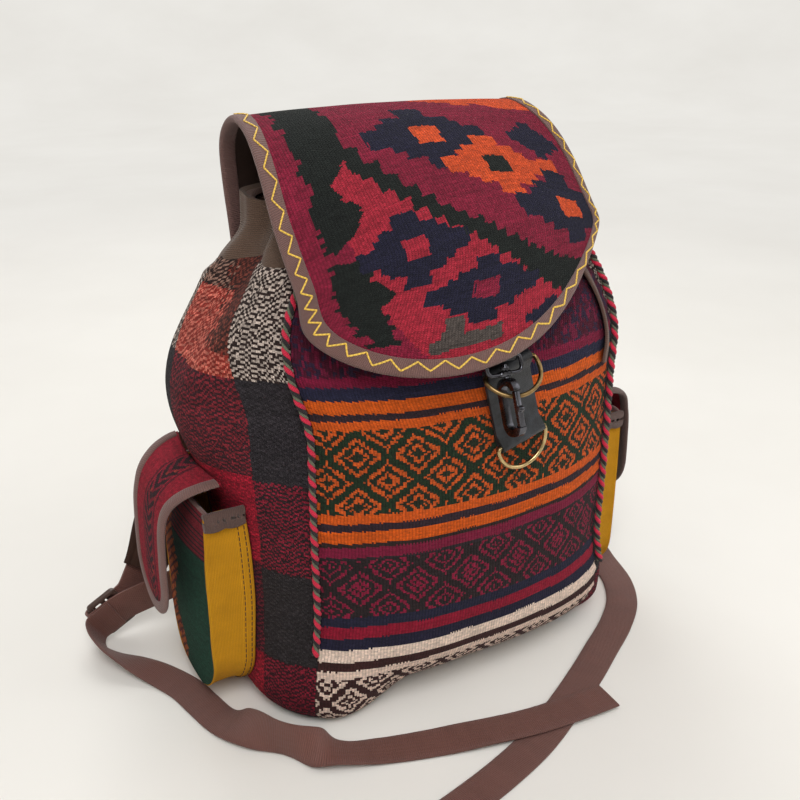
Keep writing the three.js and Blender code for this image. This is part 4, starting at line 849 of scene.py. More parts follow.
print("neck collar")
collarSettings = {
    "slack": 1.5, "drawIn": 8, "rimFront": 322, "rimBack": 354, "casing": 19, "folds": 31, "fold": 1.1,
    "outerShare": 0.62, "roundShare": 0.4,
}


# rises up the outside for the first share of v, turns over the rim and goes down inside
def collarPlace(u, v):
    c = collarSettings
    angle = u * 360
    signed = np.where(angle > 180, angle - 360, angle)
    low = clothTop(signed) - 15
    rim = c["rimFront"] + (c["rimBack"] - c["rimFront"]) * (1 - np.cos(np.radians(angle))) / 2
    over = np.clip((v - c["outerShare"]) / (1 - c["outerShare"]), 0, 1)
    turn = np.clip(over / c["roundShare"], 0, 1) * np.pi
    down = c["casing"] * np.clip((over - c["roundShare"]) / (1 - c["roundShare"]), 0, 1) * 0.9
    z = np.where(v < c["outerShare"], low + (rim - low) * v / c["outerShare"], rim - 3.2 + 3.2 * np.cos(turn * 0.5) ** 2 - down)
    inward = np.where(v >= c["outerShare"], 4.6 * (1 - np.cos(turn)) / 2 + 0.2, 0.2)
    turned = np.radians(angle)
    gather = c["fold"] * smooth((z - low) / 30) * (np.sin(turned * c["folds"] + 0.5 * np.sin(turned * 7)) + 1)
    return bodyPoint(angle, z, 3 + c["slack"] + c["drawIn"] * smooth((z - clothTop(signed)) / 25) + inward + gather)


collarPiece = layGrid("neck_gathered_cloth", 620, 44, collarPlace, lambda u, v: (u * 600, v * 95), smoothAngle=70)
mergeDoubles(collarPiece, 0.00002)
finished(collarPiece, collarTape, "bag", "neck_collar", slot="collar")

print("drawstring end")
z = np.linspace(322, 230, 120)
x, y, zz = bodyPoint(frontSeam(z) - 8.5, z, -1.3 - 0.9)
line = np.stack([x, y, zz], 1)
outward = unit(np.stack([x, y * 1.4, 0 * z], 1))
tangent = unit(np.gradient(line, axis=0))
ways = unit(np.cross(outward, tangent))
out = np.cross(tangent, ways)
out = np.where(np.sum(out * outward, 1)[:, None] < 0, -out, out)


def doubledTape(u, v):
    a = u * 2 * np.pi
    p = 5.9 * powered(np.cos(a), 0.4)
    return p, 1.25 * powered(np.sin(a), 0.6) * (1 - 0.45 * np.exp(-(p / 1.3) ** 2))


stringEnd = sweep("drawstring_end_tape", line, ways, out, doubledTape, 32)
finished(stringEnd, cordCloth, "bag", "drawstring_tail", slot="cord")

print("lid")
lid = {
    "rootHalf": 102, "ridgeGrow": 8, "frontGrow": 11, "tip": 95, "skew": 0.13, "drift": 0.045, "tipShift": 38,
    "sideView": [(91.5, 282), (91.8, 312), (90, 345), (80, 376), (55, 393), (25, 391.5), (-5, 379), (-35, 359),
                 (-65, 333), (-93, 303), (-113.4, 279.5), (-123.4, 263)],
    "droop": 22, "ridgeDroop": 4, "frontRadius": 195, "rootCurve": 7, "edgeRoom": 1.5,
}
lidLine = curveThrough([(0.0, y, z) for y, z in lid["sideView"]], 40)
lidRun = lengthsAlong(lidLine)
lidRidge, lidLength = lidRun[160], lidRun[-1]
lidStraight = lidLength - lid["tip"]


# the lid's middle surface: across from its middle line, along from its root over the ridge to the tip
def lidSurface(across, along):
    forward = np.maximum(0, along - lidRidge)
    turned = smooth(forward / 90)
    past = smooth((along - lidStraight) / lid["tip"])
    x = across + lid["drift"] * forward - lid["tipShift"] * past
    s = along - lid["skew"] * across * turned
    inside = np.clip(s, 0, lidLength)
    y, z = np.interp(inside, lidRun, lidLine[:, 1]), np.interp(inside, lidRun, lidLine[:, 2])
    endWay, startWay = unit(lidLine[-1] - lidLine[-2]), unit(lidLine[1] - lidLine[0])
    over, under = np.maximum(s - lidLength, 0), np.minimum(s, 0)
    y = y + over * endWay[1] + under * startWay[1]
    z = z + over * endWay[2] + under * startWay[2]
    share = forward / (lidLength - lidRidge)
    front = smooth((share - 0.2) / 0.8)
    droop = lid["ridgeDroop"] + lid["droop"] * np.sin(np.pi * np.minimum(1, 1.05 * share)) ** 2
    y = y + front * (lid["frontRadius"] - np.sqrt(lid["frontRadius"] ** 2 - x ** 2))
    y = y - (1 - smooth((along - 40) / (lidRidge - 40))) * lid["rootCurve"] * (x / 110) ** 2
    z = z - smooth(along / 40) * droop * (x / 121) ** 2
    return np.stack([x, y, z], -1)


def lidHalf(along):
    return lid["rootHalf"] + lid["ridgeGrow"] * smooth(along / lidRidge) + lid["frontGrow"] * smooth((along - lidRidge) / 90)


# a point lifted off the middle surface
def lidPoint(across, along, lift):
    step = 0.6
    across, along = np.asarray(across, float), np.asarray(along, float)
    du = lidSurface(across + step, along) - lidSurface(across - step, along)
    dv = lidSurface(across, along + step) - lidSurface(across, along - step)
    normal = unit(np.cross(dv, du))
    spot = lidSurface(across, along) + normal * np.asarray(lift, float)[..., None]
    return spot[..., 0], spot[..., 1], spot[..., 2]


def lidWhere(u, v):
    share = 2 * u - 1
    straight = lidStraight / (lidStraight + 80)
    past = np.clip((v - straight) / (1 - straight), 0, 1)
    tipShare = past * (lid["tip"] - lid["edgeRoom"]) * np.sqrt(np.maximum(0, 1 - share ** 2))
    along = np.where(v < straight, lidStraight * v / straight, lidStraight + tipShare)
    return (lidHalf(along) - lid["edgeRoom"]) * share, along


lidSettings = {
    "diagonalAcross": [-62, -49, -33, -16, 7, 30, 62, 97], "diagonalAlong": [191, 214, 236, 257, 276, 293, 314, 328],
    "bandLeftAlong": [0, 147, 250, 281, 305, 325, 338], "bandLeft": [-92, -92, -98, -99, -88, -68, -56],
    "bandRightAlong": [0, 120, 160, 190, 205, 214, 231, 245, 252, 257, 264, 279, 294, 302, 321, 340],
    "bandRight": [-58, -60, -60, -62, -84, -80, -69, -86, -97, -94, -80, -79, -64, -68, -56, -46],
    "crimson": (132, 32, 56), "bright": (166, 42, 58), "black": (30, 34, 32), "navy": (34, 33, 52),
    "orange": (214, 82, 42), "grey": (82, 74, 70),
    # middle across, middle along, half width, half length, colour, the colour of its eye
    "flowers": [(-1, 189, 41, 29, "navy", "orange"), (38, 222, 37, 24, "orange", "black"), (-48, 268, 33, 24, "navy", "bright"),
                (2, 309, 39, 19, "navy", "crimson"), (86, 262, 45, 32, "navy", "orange"), (84, 197, 20, 17, "navy", "navy"),
                (56, 339, 20, 9, "navy", "navy"), (-2, 92, 37, 23, "orange", "navy"), (48, 140, 30, 12, "orange", "orange"),
                (62, 62, 34, 22, "navy", "orange"), (-58, 56, 34, 22, "navy", "bright"), (2, 24, 30, 18, "orange", "black")],
}


def jagged(u, v, cell=3.0, size=2.2):
    return (hashed(np.floor(u / cell), np.floor(v / 2.4)) - 0.5) * size


def flowerShare(du, dv, halfU, halfV):
    a, b = np.floor(np.abs(du) / halfU * 6 + 0.5) / 6, np.floor(np.abs(dv) / halfV * 5 + 0.5) / 5
    blob = np.maximum(a + 0.62 * b, 0.62 * a + b)
    arm = (b < 0.25) & (a <= 1.0)
    stem = (a < 0.3) & (b <= 1.0)
    return (blob < 1.0) | arm | stem


def lidPattern(u, v):
    s = lidSettings
    color = np.tile(np.array(s["crimson"], float), (len(u), 1))
    w = v + jagged(u, v, 4.0, 1.6)
    x = u + jagged(v, u, 5.0, 2.4)
    steps = np.floor((x + 62) / 8.0) * 8.0 - 58
    diagonal = np.interp(steps, s["diagonalAcross"], s["diagonalAlong"])
    below = (v > diagonal) & (v > 150) & (x < 60 + 0.2 * v) & (x > -84 + 0.9 * np.maximum(0, v - 285))
    color[below] = s["bright"]
    warm = (x > 28 + jagged(v, v, 3, 6)) & (w > 128) & (w < 146 + 14 * smooth((x - 50) / 30))
    color[warm] = s["orange"]
    flame = (np.abs(x - 70) < 22) & (np.abs(w - 224 + 0.1 * (x - 70)) < 6)
    color[flame] = s["orange"]
    thick = 8.5 + 4.0 * smooth((x - 20) / 50) + 4.0 * smooth((-30 - x) / 25)
    color[(np.abs(w - diagonal) < thick) & (x > -66) & (x < 112)] = s["black"]
    leftEdge = np.interp(v, s["bandLeftAlong"], s["bandLeft"]) + 3 * np.floor(hashed(np.floor(v / 3.2), 3) * 2.6) - 3
    rightEdge = np.interp(v, s["bandRightAlong"], s["bandRight"]) + 3 * np.floor(hashed(np.floor(v / 4.0), 9) * 2.0)
    color[(u > leftEdge) & (u < rightEdge) & (w < 331)] = s["black"]
    for middleU, middleV, halfU, halfV, main, eye in s["flowers"]:
        du, dv = x - middleU, w - middleV - 0.10 * (x - middleU)
        color[flowerShare(du, dv, halfU, halfV)] = s[main]
        color[(np.abs(du) < halfU * 0.24) & (np.abs(dv) < halfV * 0.3)] = s[eye]
    color[(np.abs(x + 17) < 7) & (w > 322) & (w < 334)] = s["grey"]
    color[(x > -30) & (x < 16) & (w > 334) & (w < 342)] = s["grey"]
    return yarns(color, u, v, 2.0, 1.3, 0.22)


def lidPlace(u, v):
    across, along = lidWhere(u, v)
    wave = 0.35 * np.sin(across * 0.12 + along * 0.03) * np.sin(along * 0.055)
    return lidPoint(across, along, 2.0 + 0.2 * wave)


lidPiece = layGrid("lid_tapestry", 212, 330, lidPlace, uv=lidWhere, flip=True, smoothAngle=70)
weave(lidPiece, lidPattern)
finished(lidPiece, lidCloth, "bag", "flap_cloth", slot="flap_cloth")


def liningPlace(u, v):
    across, along = lidWhere(u, v)
    return lidPoint(across, along, np.full_like(across, -1.1))


liningPiece = layGrid("lid_lining", 90, 130, liningPlace, uv=lidWhere, smoothAngle=70)
finished(liningPiece, liningCloth, "bag", "flap_lining", slot="lining")

# the lid's edge as (across, along), from the root at the left round the tip to the root at the right
fan = np.linspace(-math.pi / 2, math.pi / 2, 240)
straightRun = np.linspace(2, lidStraight, 200)[:-1]
edgeLeft = np.stack([-lidHalf(straightRun), straightRun], 1)
tipAlong = lidStraight + lid["tip"] * np.cos(fan)
edgeTip = np.stack([lidHalf(tipAlong) * np.sin(fan), tipAlong], 1)
edge = np.vstack([edgeLeft, edgeTip, edgeLeft[::-1] * np.array([-1, 1])])
edge = evenly(edge, 720)
edgeWay = unit(np.gradient(edge, axis=0))
edgeIn = np.stack([edgeWay[:, 1], -edgeWay[:, 0]], 1)
if np.dot(edgeIn[360], (0, -1)) < 0:
    edgeIn = -edgeIn
edgeRun = lengthsAlong(edge)
# the binding's own section, as (inwards from the edge, lift)
bindingLoop = np.array([(9.6, 2.1), (9.4, 3.0), (6, 3.15), (2.5, 3.15), (0.6, 2.9), (-0.6, 2.1), (-1.1, 0.7), (-0.8, -0.8),
                        (0.6, -1.9), (2.5, -2.15), (6, -2.15), (9.4, -2.0), (9.6, -1.2)])
bindingLoop = np.vstack([bindingLoop, bindingLoop[:1]])
loopRun = lengthsAlong(bindingLoop)


def onEdge(v, inward, lift):
    (across, along), (inAcross, inAlong) = readAlong(edge, v), readAlong(edgeIn, v)
    return lidPoint(across + inAcross * inward, along + inAlong * inward, lift)


def bindingPlace(u, v):
    at = u * loopRun[-1]
    inward, lift = np.interp(at, loopRun, bindingLoop[:, 0]), np.interp(at, loopRun, bindingLoop[:, 1])
    run = v * edgeRun[-1]
    lift = lift + 0.12 * np.sin(run * 0.9) * np.sin(run * 0.17) * smooth(inward / 6)
    return onEdge(v, inward, lift)


bindingPiece = layGrid("lid_binding", 30, 719, bindingPlace, uv=lambda u, v: (u * loopRun[-1], v * edgeRun[-1]), closed=True)
finished(bindingPiece, bindingTape, "bag", "flap_binding", slot="binding")

zigSettings = {"period": 17.0, "low": 2.4, "high": 8.0, "thread": 0.56}
count = int(edgeRun[-1] / 0.7)
k = np.linspace(0.01, 0.99, count)
phase = (k * edgeRun[-1] / zigSettings["period"]) % 1
zig = zigSettings["low"] + (zigSettings["high"] - zigSettings["low"]) * np.abs(2 * phase - 1)
zig = zig + 0.35 * np.sin(k * 97)
dip = 0.28 * np.abs(np.sin(np.pi * k * edgeRun[-1] / 2.8)) ** 0.5
x, y, z = onEdge(k, zig, 3.12 + dip)
zigPiece = thread("lid_gold_zigzag", np.stack([x, y, z], 1), zigSettings["thread"], sides=6)
finished(zigPiece, goldThread, "bag", slot="binding")

print("closure")
closureSettings = {
    "x": 15, "bottom": 203, "lean": 15, "leather": 2.6,
    "stitches": 8, "stitchRise": 11.0, "firstStitch": -13.5, "stitchPitch": 3.6, "stitchLength": 2.4, "stitchStand": 0.75,
}


def bodyFrontY(x, z):
    side, front, back, power = sectionAt(z)
    return -front * (1 - (np.abs(x) / side) ** power) ** (1 / power)


# a CAD node's own shape as a new piece, merged, its edges rounded by the bevel's millimetres
def roundedCopy(name, source, bevel):
    deselect()
    copy = nodes[source].copy()
    copy.data = nodes[source].data.copy()
    copy.name = name
    for key in list(copy.keys()):
        del copy[key]
    copy.parent = None
    bpy.context.scene.collection.objects.link(copy)
    editAll(copy)
    bpy.ops.mesh.remove_doubles(threshold=0.00001)
    bpy.ops.mesh.dissolve_limited(angle_limit=math.radians(1.0))
    bpy.ops.object.mode_set(mode="OBJECT")
    if bevel:
        applied(copy, "BEVEL", width=bevel / 1000, segments=2, limit_method="ANGLE", angle_limit=math.radians(40),
                harden_normals=False)
    copy.select_set(True)
    bpy.ops.object.shade_smooth_by_angle(angle=math.radians(50))
    # texture coordinates in millimetres, v along the piece's longest direction
    spots = np.array([tuple(v.co) for v in copy.data.vertices]) * 1000
    spots = spots - spots.mean(axis=0)
    turned = spots @ np.linalg.svd(spots, full_matrices=False)[2].T
    chart = copy.data.uv_layers.active or copy.data.uv_layers.new(name="UVMap")
    corners = np.array([loop.vertex_index for loop in copy.data.loops])
    chart.data.foreach_set("uv", turned[corners][:, [1, 0]].ravel())
    return copy


for name, source, material, bodyName, slotName, bevel in (
        ("closure_leather", "closure_tab", blackLeather, "bag", "leather", 0.5),
        ("lid_hook_leather", "flap_tab", blackLeather, "bag", "leather", 0.4),
        ("drawstring_cord_cloth", "drawstring", cordCloth, "bag", "webbing", 0.2),
        ("hook_claw", "hook_body", blackNickel, "claw", "hook_metal", 0.7),
        ("hook_lever", "hook_gate", blackNickel, "gate", "hook_metal", 0.5),
        ("left_lock_moulding", "left_ladder_lock", brownPlastic, "bag", "plastic", 0.6),
        ("right_lock_moulding", "right_ladder_lock", brownPlastic, "bag", "plastic", 0.6)):
    finished(roundedCopy(name, source, bevel), material, bodyName, source, slot=slotName)
for name, source, material, bodyName, slotName in (
        ("lower_brass_ring", "lower_ring", paleBrass, "lower_d_ring", "brass"),
        ("upper_brass_ring", "upper_ring", agedBrass, "upper_d_ring", "brass"),
        ("swivel_eye", "hook_eye", blackNickel, "eye", "hook_metal")):
    wire = roundedCopy(name, source, 0)
    applied(wire, "SUBSURF", levels=1, render_levels=1)
    bpy.ops.object.shade_smooth()
    finished(wire, material, bodyName, source, slot=slotName)

# the stitch line across the closure tab, a row of dashes set into its face
lean = math.radians(closureSettings["lean"])
dashes = []
for k in range(closureSettings["stitches"]):
    start = closureSettings["firstStitch"] + k * closureSettings["stitchPitch"]
    run = np.linspace(start, start + closureSettings["stitchLength"], 6)
    x = closureSettings["x"] + run * math.cos(lean)
    z = closureSettings["bottom"] + closureSettings["stitchRise"] + run * math.sin(lean) * 0.75
    y = bodyFrontY(x, z) - closureSettings["leather"] - closureSettings["stitchStand"]
    dashes.append(thread("tab stitch", np.stack([x, y, z], 1), 0.32, sides=5))
tabStitches = joined("closure_tab_stitches", dashes)
finished(tabStitches, blackThread, "bag", slot="leather")

print("pockets")
pocket = {
    "centreY": 15, "half": 47, "bottom": 12, "top": 160, "corner": 34, "leftStand": 23, "rightStand": 14,
    "bulge": 9, "mouthBand": 11,
    "flapRootHalf": 46, "flapHalf": 33,
    "tongueSideView": [(0.4, 178), (9, 176.5), (19, 172), (28, 163), (32.5, 150), (34.5, 125), (35, 100), (34, 72)],
}


# how far out the side cloth stands
def bodySideX(y, z, side):
    width, front, back, power = sectionAt(z)
    depth = np.where(y < 0, front, back)
    p = np.where(y < 0, power, body["backPower"])
    x = width * np.maximum(0, 1 - (np.abs(y) / depth) ** p) ** (1 / p)
    return x + sideSwell(side * x, y, z) * side


# how far out a pocket's face stands
def pocketSkin(y, z, stand):
    return 150 + stand + pocket["bulge"] * (1 - ((y - 15) / 60) ** 2) * (1 - ((z - 80) / 110) ** 2)


# the pocket's U outline from the front top corner round the bottom to the back top corner
def pocketOutline(count=200):
    c, h, b, t, r = pocket["centreY"], pocket["half"], pocket["bottom"], pocket["top"], pocket["corner"]
    pts = [(c - h, z) for z in np.linspace(t, b + r, 60)]
    pts += [(c - h + r - r * math.cos(a), b + r - r * math.sin(a)) for a in np.linspace(0, math.pi / 2, 40)[1:]]
    pts += [(y, b) for y in np.linspace(c - h + r, c + h - r, 20)[1:]]
    pts += [(c + h - r + r * math.sin(a), b + r - r * math.cos(a)) for a in np.linspace(0, math.pi / 2, 40)[1:]]
    pts += [(c + h, z) for z in np.linspace(b + r, t, 60)[1:]]
    return evenly(np.array([(0, y, z) for y, z in pts], float), count)[:, 1:]


outline = pocketOutline(240)
outlineRun = lengthsAlong(outline)
outlineWay = unit(np.gradient(outline, axis=0))
outlineOut = np.stack([-outlineWay[:, 1], outlineWay[:, 0]], 1)
if outlineOut[10, 0] > 0:
    outlineOut = -outlineOut


def pocketPattern(u, v):
    color = np.tile(np.array((26, 62, 48), float), (len(u), 1))
    ragged = jagged(u, v, 4, 5)
    color[(u + ragged > 4) & (v > 10)] = (34, 58, 46)
    figured = (u + 6 * np.sin(v * 0.09) + ragged > 9)
    color[figured] = (168, 84, 40)
    color[figured & (((v / 7.0 + np.abs(u) / 9.0) % 1) < 0.35)] = (72, 40, 34)
    color[figured & (hashed(np.floor(u / 3), np.floor(v / 3)) > 0.8)] = (96, 30, 36)
    color[(v > 112) & ~figured] = (120, 30, 42)
    color[(v > 112) & ~figured & ((v / 4.0) % 1 < 0.3)] = (40, 32, 36)
    return yarns(color, u, v, 1.7, 1.2, 0.25)


def tonguePattern(u, v):
    color = np.tile(np.array((146, 28, 46), float), (len(u), 1))
    strip = np.abs(u + 4) < 8
    color[strip] = (52, 30, 36)
    color[strip & (((v / 8.0 + np.abs(u + 4) / 8.0) % 1) < 0.4)] = (128, 28, 46)
    color[strip & (hashed(np.floor(u / 2.5), np.floor(v / 2.5)) > 0.9)] = (150, 52, 46)
    color[np.abs(np.abs(u + 4) - 10.5) < 1.2] = (92, 24, 38)
    return yarns(color, u, v, 1.7, 1.2, 0.25)


for side, key, stand in ((-1, "left", pocket["leftStand"]), (1, "right", pocket["rightStand"])):
    # v up the face, u from its front edge to its back edge, inside the outline
    def facePlace(u, v, side=side, stand=stand):
        z = pocket["bottom"] + 1.0 + (pocket["top"] - pocket["bottom"] - 1.0) * v
        lowPart = np.clip(pocket["bottom"] + pocket["corner"] - z, 0, None)
        half = pocket["half"] - pocket["corner"] + np.sqrt(np.maximum(0.0, pocket["corner"] ** 2 - lowPart ** 2))
        y = pocket["centreY"] + (half - 0.5) * (2 * u - 1)
        x = pocketSkin(y, z, stand) + 0.3 * np.sin(z * 0.11 + y * 0.05) - 0.4
        return side * x, y, z

    def faceUv(u, v, place=facePlace):
        x, y, z = place(u, v)
        return y - pocket["centreY"], z - pocket["bottom"]

    face = layGrid(f"{key}_pocket_cloth", 76, 116, facePlace, uv=faceUv, flip=side > 0, smoothAngle=70)
    weave(face, pocketPattern)
    applied(face, "SOLIDIFY", thickness=0.0014, offset=-1)
    finished(face, pocketCloth, "bag", f"{key}_pocket_face", slot="pocket_cloth")

    def gussetPlace(u, v, side=side, stand=stand):
        (y, z), (oy, oz) = readAlong(outline, v), readAlong(outlineOut, v)
        inner = bodySideX(y, z, side) + 0.5
        outer = pocketSkin(y, z, stand)
        x = inner + (outer + 1.2 - inner) * np.clip(u / 0.86, 0, 1)
        # a flange stands out where the gusset meets the face
        flange = 1.9 * (1 - smooth((u - 0.16) / 0.06)) + 0.7 * smooth((u - 0.74) / 0.12)
        dip = 0.9 * np.sin(np.clip((u - 0.2) / 0.6, 0, 1) * np.pi) * (1 + 0.35 * np.sin(v * 60))
        dip = dip + 0.8 * np.exp(-((u - 0.12) / 0.02) ** 2)
        reach = flange - dip - 2.6 * np.clip((u - 0.86) / 0.14, 0, 1)
        return side * x, y + oy * reach, z + oz * reach + np.where(z < 14, 0.6, 0.0)

    gusset = layGrid(f"{key}_pocket_yellow_gusset", 26, 239, gussetPlace,
                     uv=lambda u, v: (u * 30, v * outlineRun[-1]), smoothAngle=70)
    outFacing = sum((p.normal.y * (p.center.y * 1000 - frameShift - 15) + p.normal.z * (p.center.z * 1000 - 90)) * p.area
                    for p in gusset.data.polygons)
    applied(gusset, "SOLIDIFY", thickness=0.001, offset=-1 if outFacing > 0 else 1)
    editAll(gusset)
    bpy.ops.mesh.normals_make_consistent(inside=False)
    bpy.ops.object.mode_set(mode="OBJECT")
    finished(gusset, yellowCloth, "bag", f"{key}_pocket_gusset", slot="yellow_cloth")

    # dark double stitching on the gusset, along its edge by the face
    rows = []
    for acrossAt in (0.075, 0.19):
        for a in np.arange(13.0, outlineRun[-1] - 15, 4.2):
            v = np.linspace(a, a + 2.9, 5) / outlineRun[-1]
            x, y, z = gussetPlace(np.full_like(v, acrossAt), v)
            oy, oz = readAlong(outlineOut, v)
            rows.append(thread("stitch", np.stack([x, y + oy * 0.2, z + oz * 0.2], 1), 0.34, sides=5))
    stitches = joined(f"{key}_pocket_stitches", rows)
    finished(stitches, darkThread, "bag", slot="yellow_cloth")

    # brown tape over the gusset's two top ends, its lower edge scalloped
    for end, word in ((-1, "front"), (1, "back")):
        def capPlace(u, v, side=side, stand=stand, end=end):
            y = pocket["centreY"] + end * pocket["half"]
            inner = bodySideX(np.full_like(u, y), np.full_like(u, 158.0), side) + 0.2
            outer = pocketSkin(np.full_like(u, y), np.full_like(u, 158.0), stand) + 1.6
            around = v * 2 * np.pi
            up = powered(np.sin(around), 0.5)
            thick = 2.5 * powered(np.cos(around), 0.6)
            scallop = 1.4 * np.abs(np.sin(u * np.pi * 2.0)) * (up < 0)
            return side * (inner + (outer - inner) * u), y + end * (1.1 + thick), 154.6 + 6.4 * up - scallop

        cap = layGrid(f"{key}_pocket_{word}_cap", 24, 28, capPlace, uv=lambda u, v: (v * 26, u * 30), closed=True)
        finished(cap, darkBinding, "bag", slot="binding")

    # the binding over the pocket's mouth, scalloped by its elastic
    def mouthLine(v, side=side, stand=stand):
        y = pocket["centreY"] + (pocket["half"] + 0.8) * (2 * v - 1)
        x = pocketSkin(y, np.full_like(y, pocket["top"]), stand)
        return side * x, y

    def mouthPlace(u, v, side=side):
        x, y = mouthLine(v)
        a = u * 2 * np.pi
        scallop = 1.1 * np.abs(np.sin(v * np.pi * 7))
        up = (pocket["mouthBand"] / 2 + 0.4) * powered(np.sin(a), 0.6)
        thick = 1.7 * powered(np.cos(a), 0.7)
        return x + side * (thick - 0.9), y, pocket["top"] - pocket["mouthBand"] / 2 + 1.2 + up + scallop * (up > 0) - 0.6

    mouth = layGrid(f"{key}_pocket_mouth_tape", 20, 96, mouthPlace, uv=lambda u, v: (u * 26, v * 96), closed=True)
    finished(mouth, bindingTape, "bag", f"{key}_pocket_mouth_binding", slot="binding")

    # the pocket's own lid, a tongue of red cloth with a thick rounded binding
    view = pocket["tongueSideView"]
    root = float(bodySideX(np.array(15.0), np.array(178.0), side)) + 1.05
    tongueLine = curveThrough([(root + a, 0.0, b) for a, b in view], 24)
    tongueRun = lengthsAlong(tongueLine)
    total = tongueRun[-1]

    def tongueHalf(along):
        return pocket["flapRootHalf"] + (pocket["flapHalf"] - pocket["flapRootHalf"]) * smooth(along / 45)

    def tonguePoint(across, along, lift, side=side, line=tongueLine, run=tongueRun):
        x = np.interp(along, run, line[:, 0])
        z = np.interp(along, run, line[:, 2])
        way = unit(np.gradient(line, axis=0))
        wx, wz = np.interp(along, run, way[:, 0]), np.interp(along, run, way[:, 2])
        nx, nz = -wz, wx  # outwards and up from the tongue
        x = x - (across / 47) ** 2 * (2.2 + 3 * smooth(1 - along / 30)) + nx * lift
        return side * x, pocket["centreY"] + across, z + nz * lift

    def tongueWhere(u, v, total=total):
        share = 2 * u - 1
        straightShare = (total - pocket["flapHalf"]) / total
        past = np.clip((v - straightShare) / (1 - straightShare), 0, 1)
        tipShare = past * (pocket["flapHalf"] - 0.6) * np.sqrt(np.maximum(0, 1 - share ** 2))
        along = np.where(v < straightShare, v * total, total - pocket["flapHalf"] + tipShare)
        return (tongueHalf(along) - 0.6) * share, along

    def tonguePlace(u, v):
        across, along = tongueWhere(u, v)
        return tonguePoint(across, along, np.full_like(along, 1.0))

    tongue = layGrid(f"{key}_pocket_tongue", 60, 100, tonguePlace, uv=tongueWhere, flip=side < 0, smoothAngle=70)
    weave(tongue, tonguePattern)
    outFacing = sum(p.normal.x * side * p.area for p in tongue.data.polygons)
    applied(tongue, "SOLIDIFY", thickness=0.0016, offset=-1 if outFacing > 0 else 1)
    editAll(tongue)
    bpy.ops.mesh.normals_make_consistent(inside=False)
    bpy.ops.object.mode_set(mode="OBJECT")
    finished(tongue, pocketCloth, "bag", f"{key}_pocket_flap", slot="pocket_flap_cloth")

    t = np.linspace(2, total - pocket["flapHalf"], 60)[:-1]
    f = np.linspace(-math.pi / 2, math.pi / 2, 80)
    tip = total - pocket["flapHalf"] + pocket["flapHalf"] * np.cos(f)
    rim = np.vstack([np.stack([-tongueHalf(t), t], 1), np.stack([tongueHalf(tip) * np.sin(f), tip], 1),
                     np.stack([tongueHalf(t[::-1]), t[::-1]], 1)])
    rim = evenly(rim, 240)
    rimWay = unit(np.gradient(rim, axis=0))
    rimIn = np.stack([-rimWay[:, 1], rimWay[:, 0]], 1)
    if rimIn[120, 1] > 0:
        rimIn = -rimIn

    def tongueBindingPlace(u, v, rim=rim, rimIn=rimIn):
        a = u * 2 * np.pi
        inward = 3.7 + 4.5 * powered(np.cos(a), 0.9)
        lift = 0.5 + 2.1 * powered(np.sin(a), 0.9)
        (across, along), (inAcross, inAlong) = readAlong(rim, v), readAlong(rimIn, v)
        return tonguePoint(across + inAcross * inward, along + inAlong * inward, lift)

    tongueBinding = layGrid(f"{key}_pocket_tongue_binding", 20, 239, tongueBindingPlace,
                            uv=lambda u, v: (u * 16, v * lengthsAlong(rim)[-1]), closed=True)
    finished(tongueBinding, bindingTape if side < 0 else darkBinding, "bag", f"{key}_pocket_flap_binding", slot="binding")

print("straps")
strap = {
    "padWidth": 52, "padThick": 9,
    # the pad's middle line from top to bottom, and the way its width lies at each of these points
    "padLine": [(36, 95.6, 257), (40, 95.6, 244), (48, 99.1, 228), (64, 108.6, 206), (90, 117.6, 176), (118, 120.6, 142),
                (146, 117.6, 108), (169, 112.6, 75), (186, 107.1, 47)],
    "padWays": [(1, 0, .24), (1, 0, .3), (1, 0, .4), (.9, 0, .52), (.82, 0, .58), (.82, 0, .58), (.85, 0, .52),
                (.88, 0, .46), (.88, 0, .5)],
}
for side, key in ((-1, "left"), (1, "right")):
    both = [(side * p[0], p[1], p[2], side * w[0], w[1], w[2]) for p, w in zip(strap["padLine"], strap["padWays"])]
    line = evenly(curveThrough(both, 24), 150)
    tangent, ways, out = frameAlong(line[:, :3], line[:, 3:])
    if out[70][1] < 0:
        out = -out

    def padProfile(u, v):
        a = u * 2 * np.pi
        wide = strap["padWidth"] / 2 * (1 - 0.3 * smooth((v - 0.8) / 0.2)) - 0.3
        thick = (strap["padThick"] / 2 - 0.2) * (1 - 0.25 * smooth((v - 0.9) / 0.1))
        p = wide * powered(np.cos(a), 0.75)
        crown = 0.45 + 0.55 * np.sqrt(np.maximum(0, 1 - (np.abs(p) / wide) ** 3))
        seam = 1 - 0.38 * np.exp(-((np.abs(p) - wide * 0.74) / 1.3) ** 2)
        return p, thick * powered(np.sin(a), 0.4) * crown * seam

    pad = sweep(f"{key}_padded_strap", line[:, :3], ways, out, padProfile, 72, uvScale=1.6)
    finished(pad, padCloth, "bag", f"{key}_shoulder_strap", slot="pad_cloth")

    lowerNode = roundedCopy(f"{key}_lower_strap", f"{key}_lower_webbing", 0.3)
    finished(lowerNode, webbingTape, "bag", f"{key}_lower_webbing", slot="webbing")
    footNode = roundedCopy(f"{key}_foot_strap", f"{key}_strap_foot", 0.3)
    finished(footNode, webbingTape, "bag", f"{key}_strap_foot", slot="webbing")

haulNode = roundedCopy("haul_loop_tape", "haul_loop", 0.3)
finished(haulNode, webbingTape, "bag", "haul_loop", slot="webbing")
patchNode = roundedCopy("strap_patch_cloth", "strap_patch", 0.6)
finished(patchNode, padCloth, "bag", "strap_patch", slot="pad_cloth")

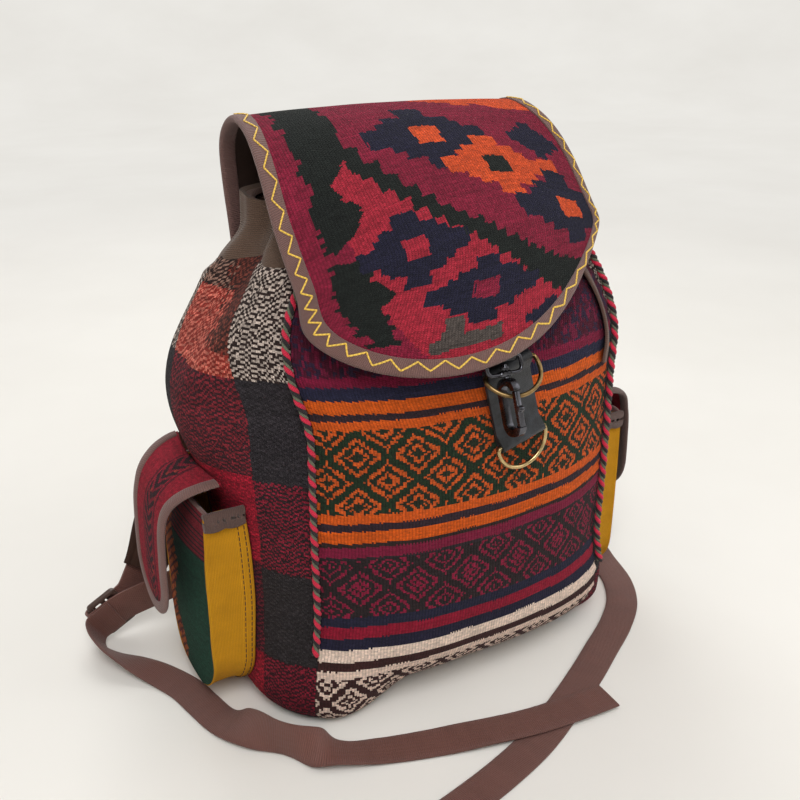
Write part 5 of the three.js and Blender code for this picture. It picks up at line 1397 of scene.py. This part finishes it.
print("stage")
deselect()
bpy.ops.mesh.primitive_grid_add(x_subdivisions=120, y_subdivisions=120, size=14, location=(0, 0, 0))
floor = bpy.context.object
floor.name = "Floor"
for v in floor.data.vertices:  # level round the bag, rising far behind everything
    far = max(0.0, math.hypot(v.co.x, v.co.y) - 3.2)
    v.co.z = -0.0001 + 0.28 * far * far
bpy.ops.object.shade_smooth()
plaster, tree, shader = newMaterial("pale plaster")
place = tree.nodes.new("ShaderNodeTexCoord").outputs["Object"]
cloudy = noiseOn(tree, place, 2.2, 4)
plasterColor = rampOn(tree, cloudy, (226, 223, 217), (240, 238, 233))
tree.links.new(plasterColor, shader.inputs["Base Color"])
shader.inputs["Roughness"].default_value = 0.9
shader.inputs["Specular IOR Level"].default_value = 0.2
distance = tree.nodes.new("ShaderNodeVectorMath")
distance.operation = "LENGTH"
tree.links.new(place, distance.inputs[0])
reach = tree.nodes.new("ShaderNodeMapRange")
reach.interpolation_type = "SMOOTHSTEP"
for k, value in ((1, 0.35), (2, 2.0), (3, 0.0), (4, 1.0)):
    reach.inputs[k].default_value = value
tree.links.new(distance.outputs["Value"], reach.inputs[0])
seen = tree.nodes.new("ShaderNodeLightPath").outputs["Is Camera Ray"]
glow = tree.nodes.new("ShaderNodeEmission")
tree.links.new(plasterColor, glow.inputs["Color"])
blend = tree.nodes.new("ShaderNodeMixShader")
tree.links.new(math2(tree, "MULTIPLY", reach.outputs[0], seen), blend.inputs[0])
tree.links.new(shader.outputs[0], blend.inputs[1])
tree.links.new(glow.outputs[0], blend.inputs[2])
tree.links.new(blend.outputs[0], tree.nodes["Material Output"].inputs["Surface"])
floor.data.materials.append(plaster)

world = bpy.data.worlds.new("studio")
bpy.context.scene.world = world
world.use_nodes = True
world.node_tree.nodes["Background"].inputs[0].default_value = (1.0, 0.985, 0.96, 1)
world.node_tree.nodes["Background"].inputs[1].default_value = 0.5
lamps = [("key", (-0.7, -1.5, 2.1), 1.3, 36), ("fill", (1.7, -1.0, 1.4), 1.6, 12), ("rim", (0.3, 1.7, 1.8), 1.5, 24)]
for name, spot, size, power in lamps:
    deselect()
    turn = (Vector((0, 0, 0.18)) - Vector(spot)).to_track_quat("-Z", "Y").to_euler()
    bpy.ops.object.light_add(type="AREA", location=spot, rotation=turn)
    lamp = bpy.context.object
    lamp.name = name
    lamp.data.energy = power
    lamp.data.size = size
bpy.context.scene.view_settings.view_transform = "Standard"
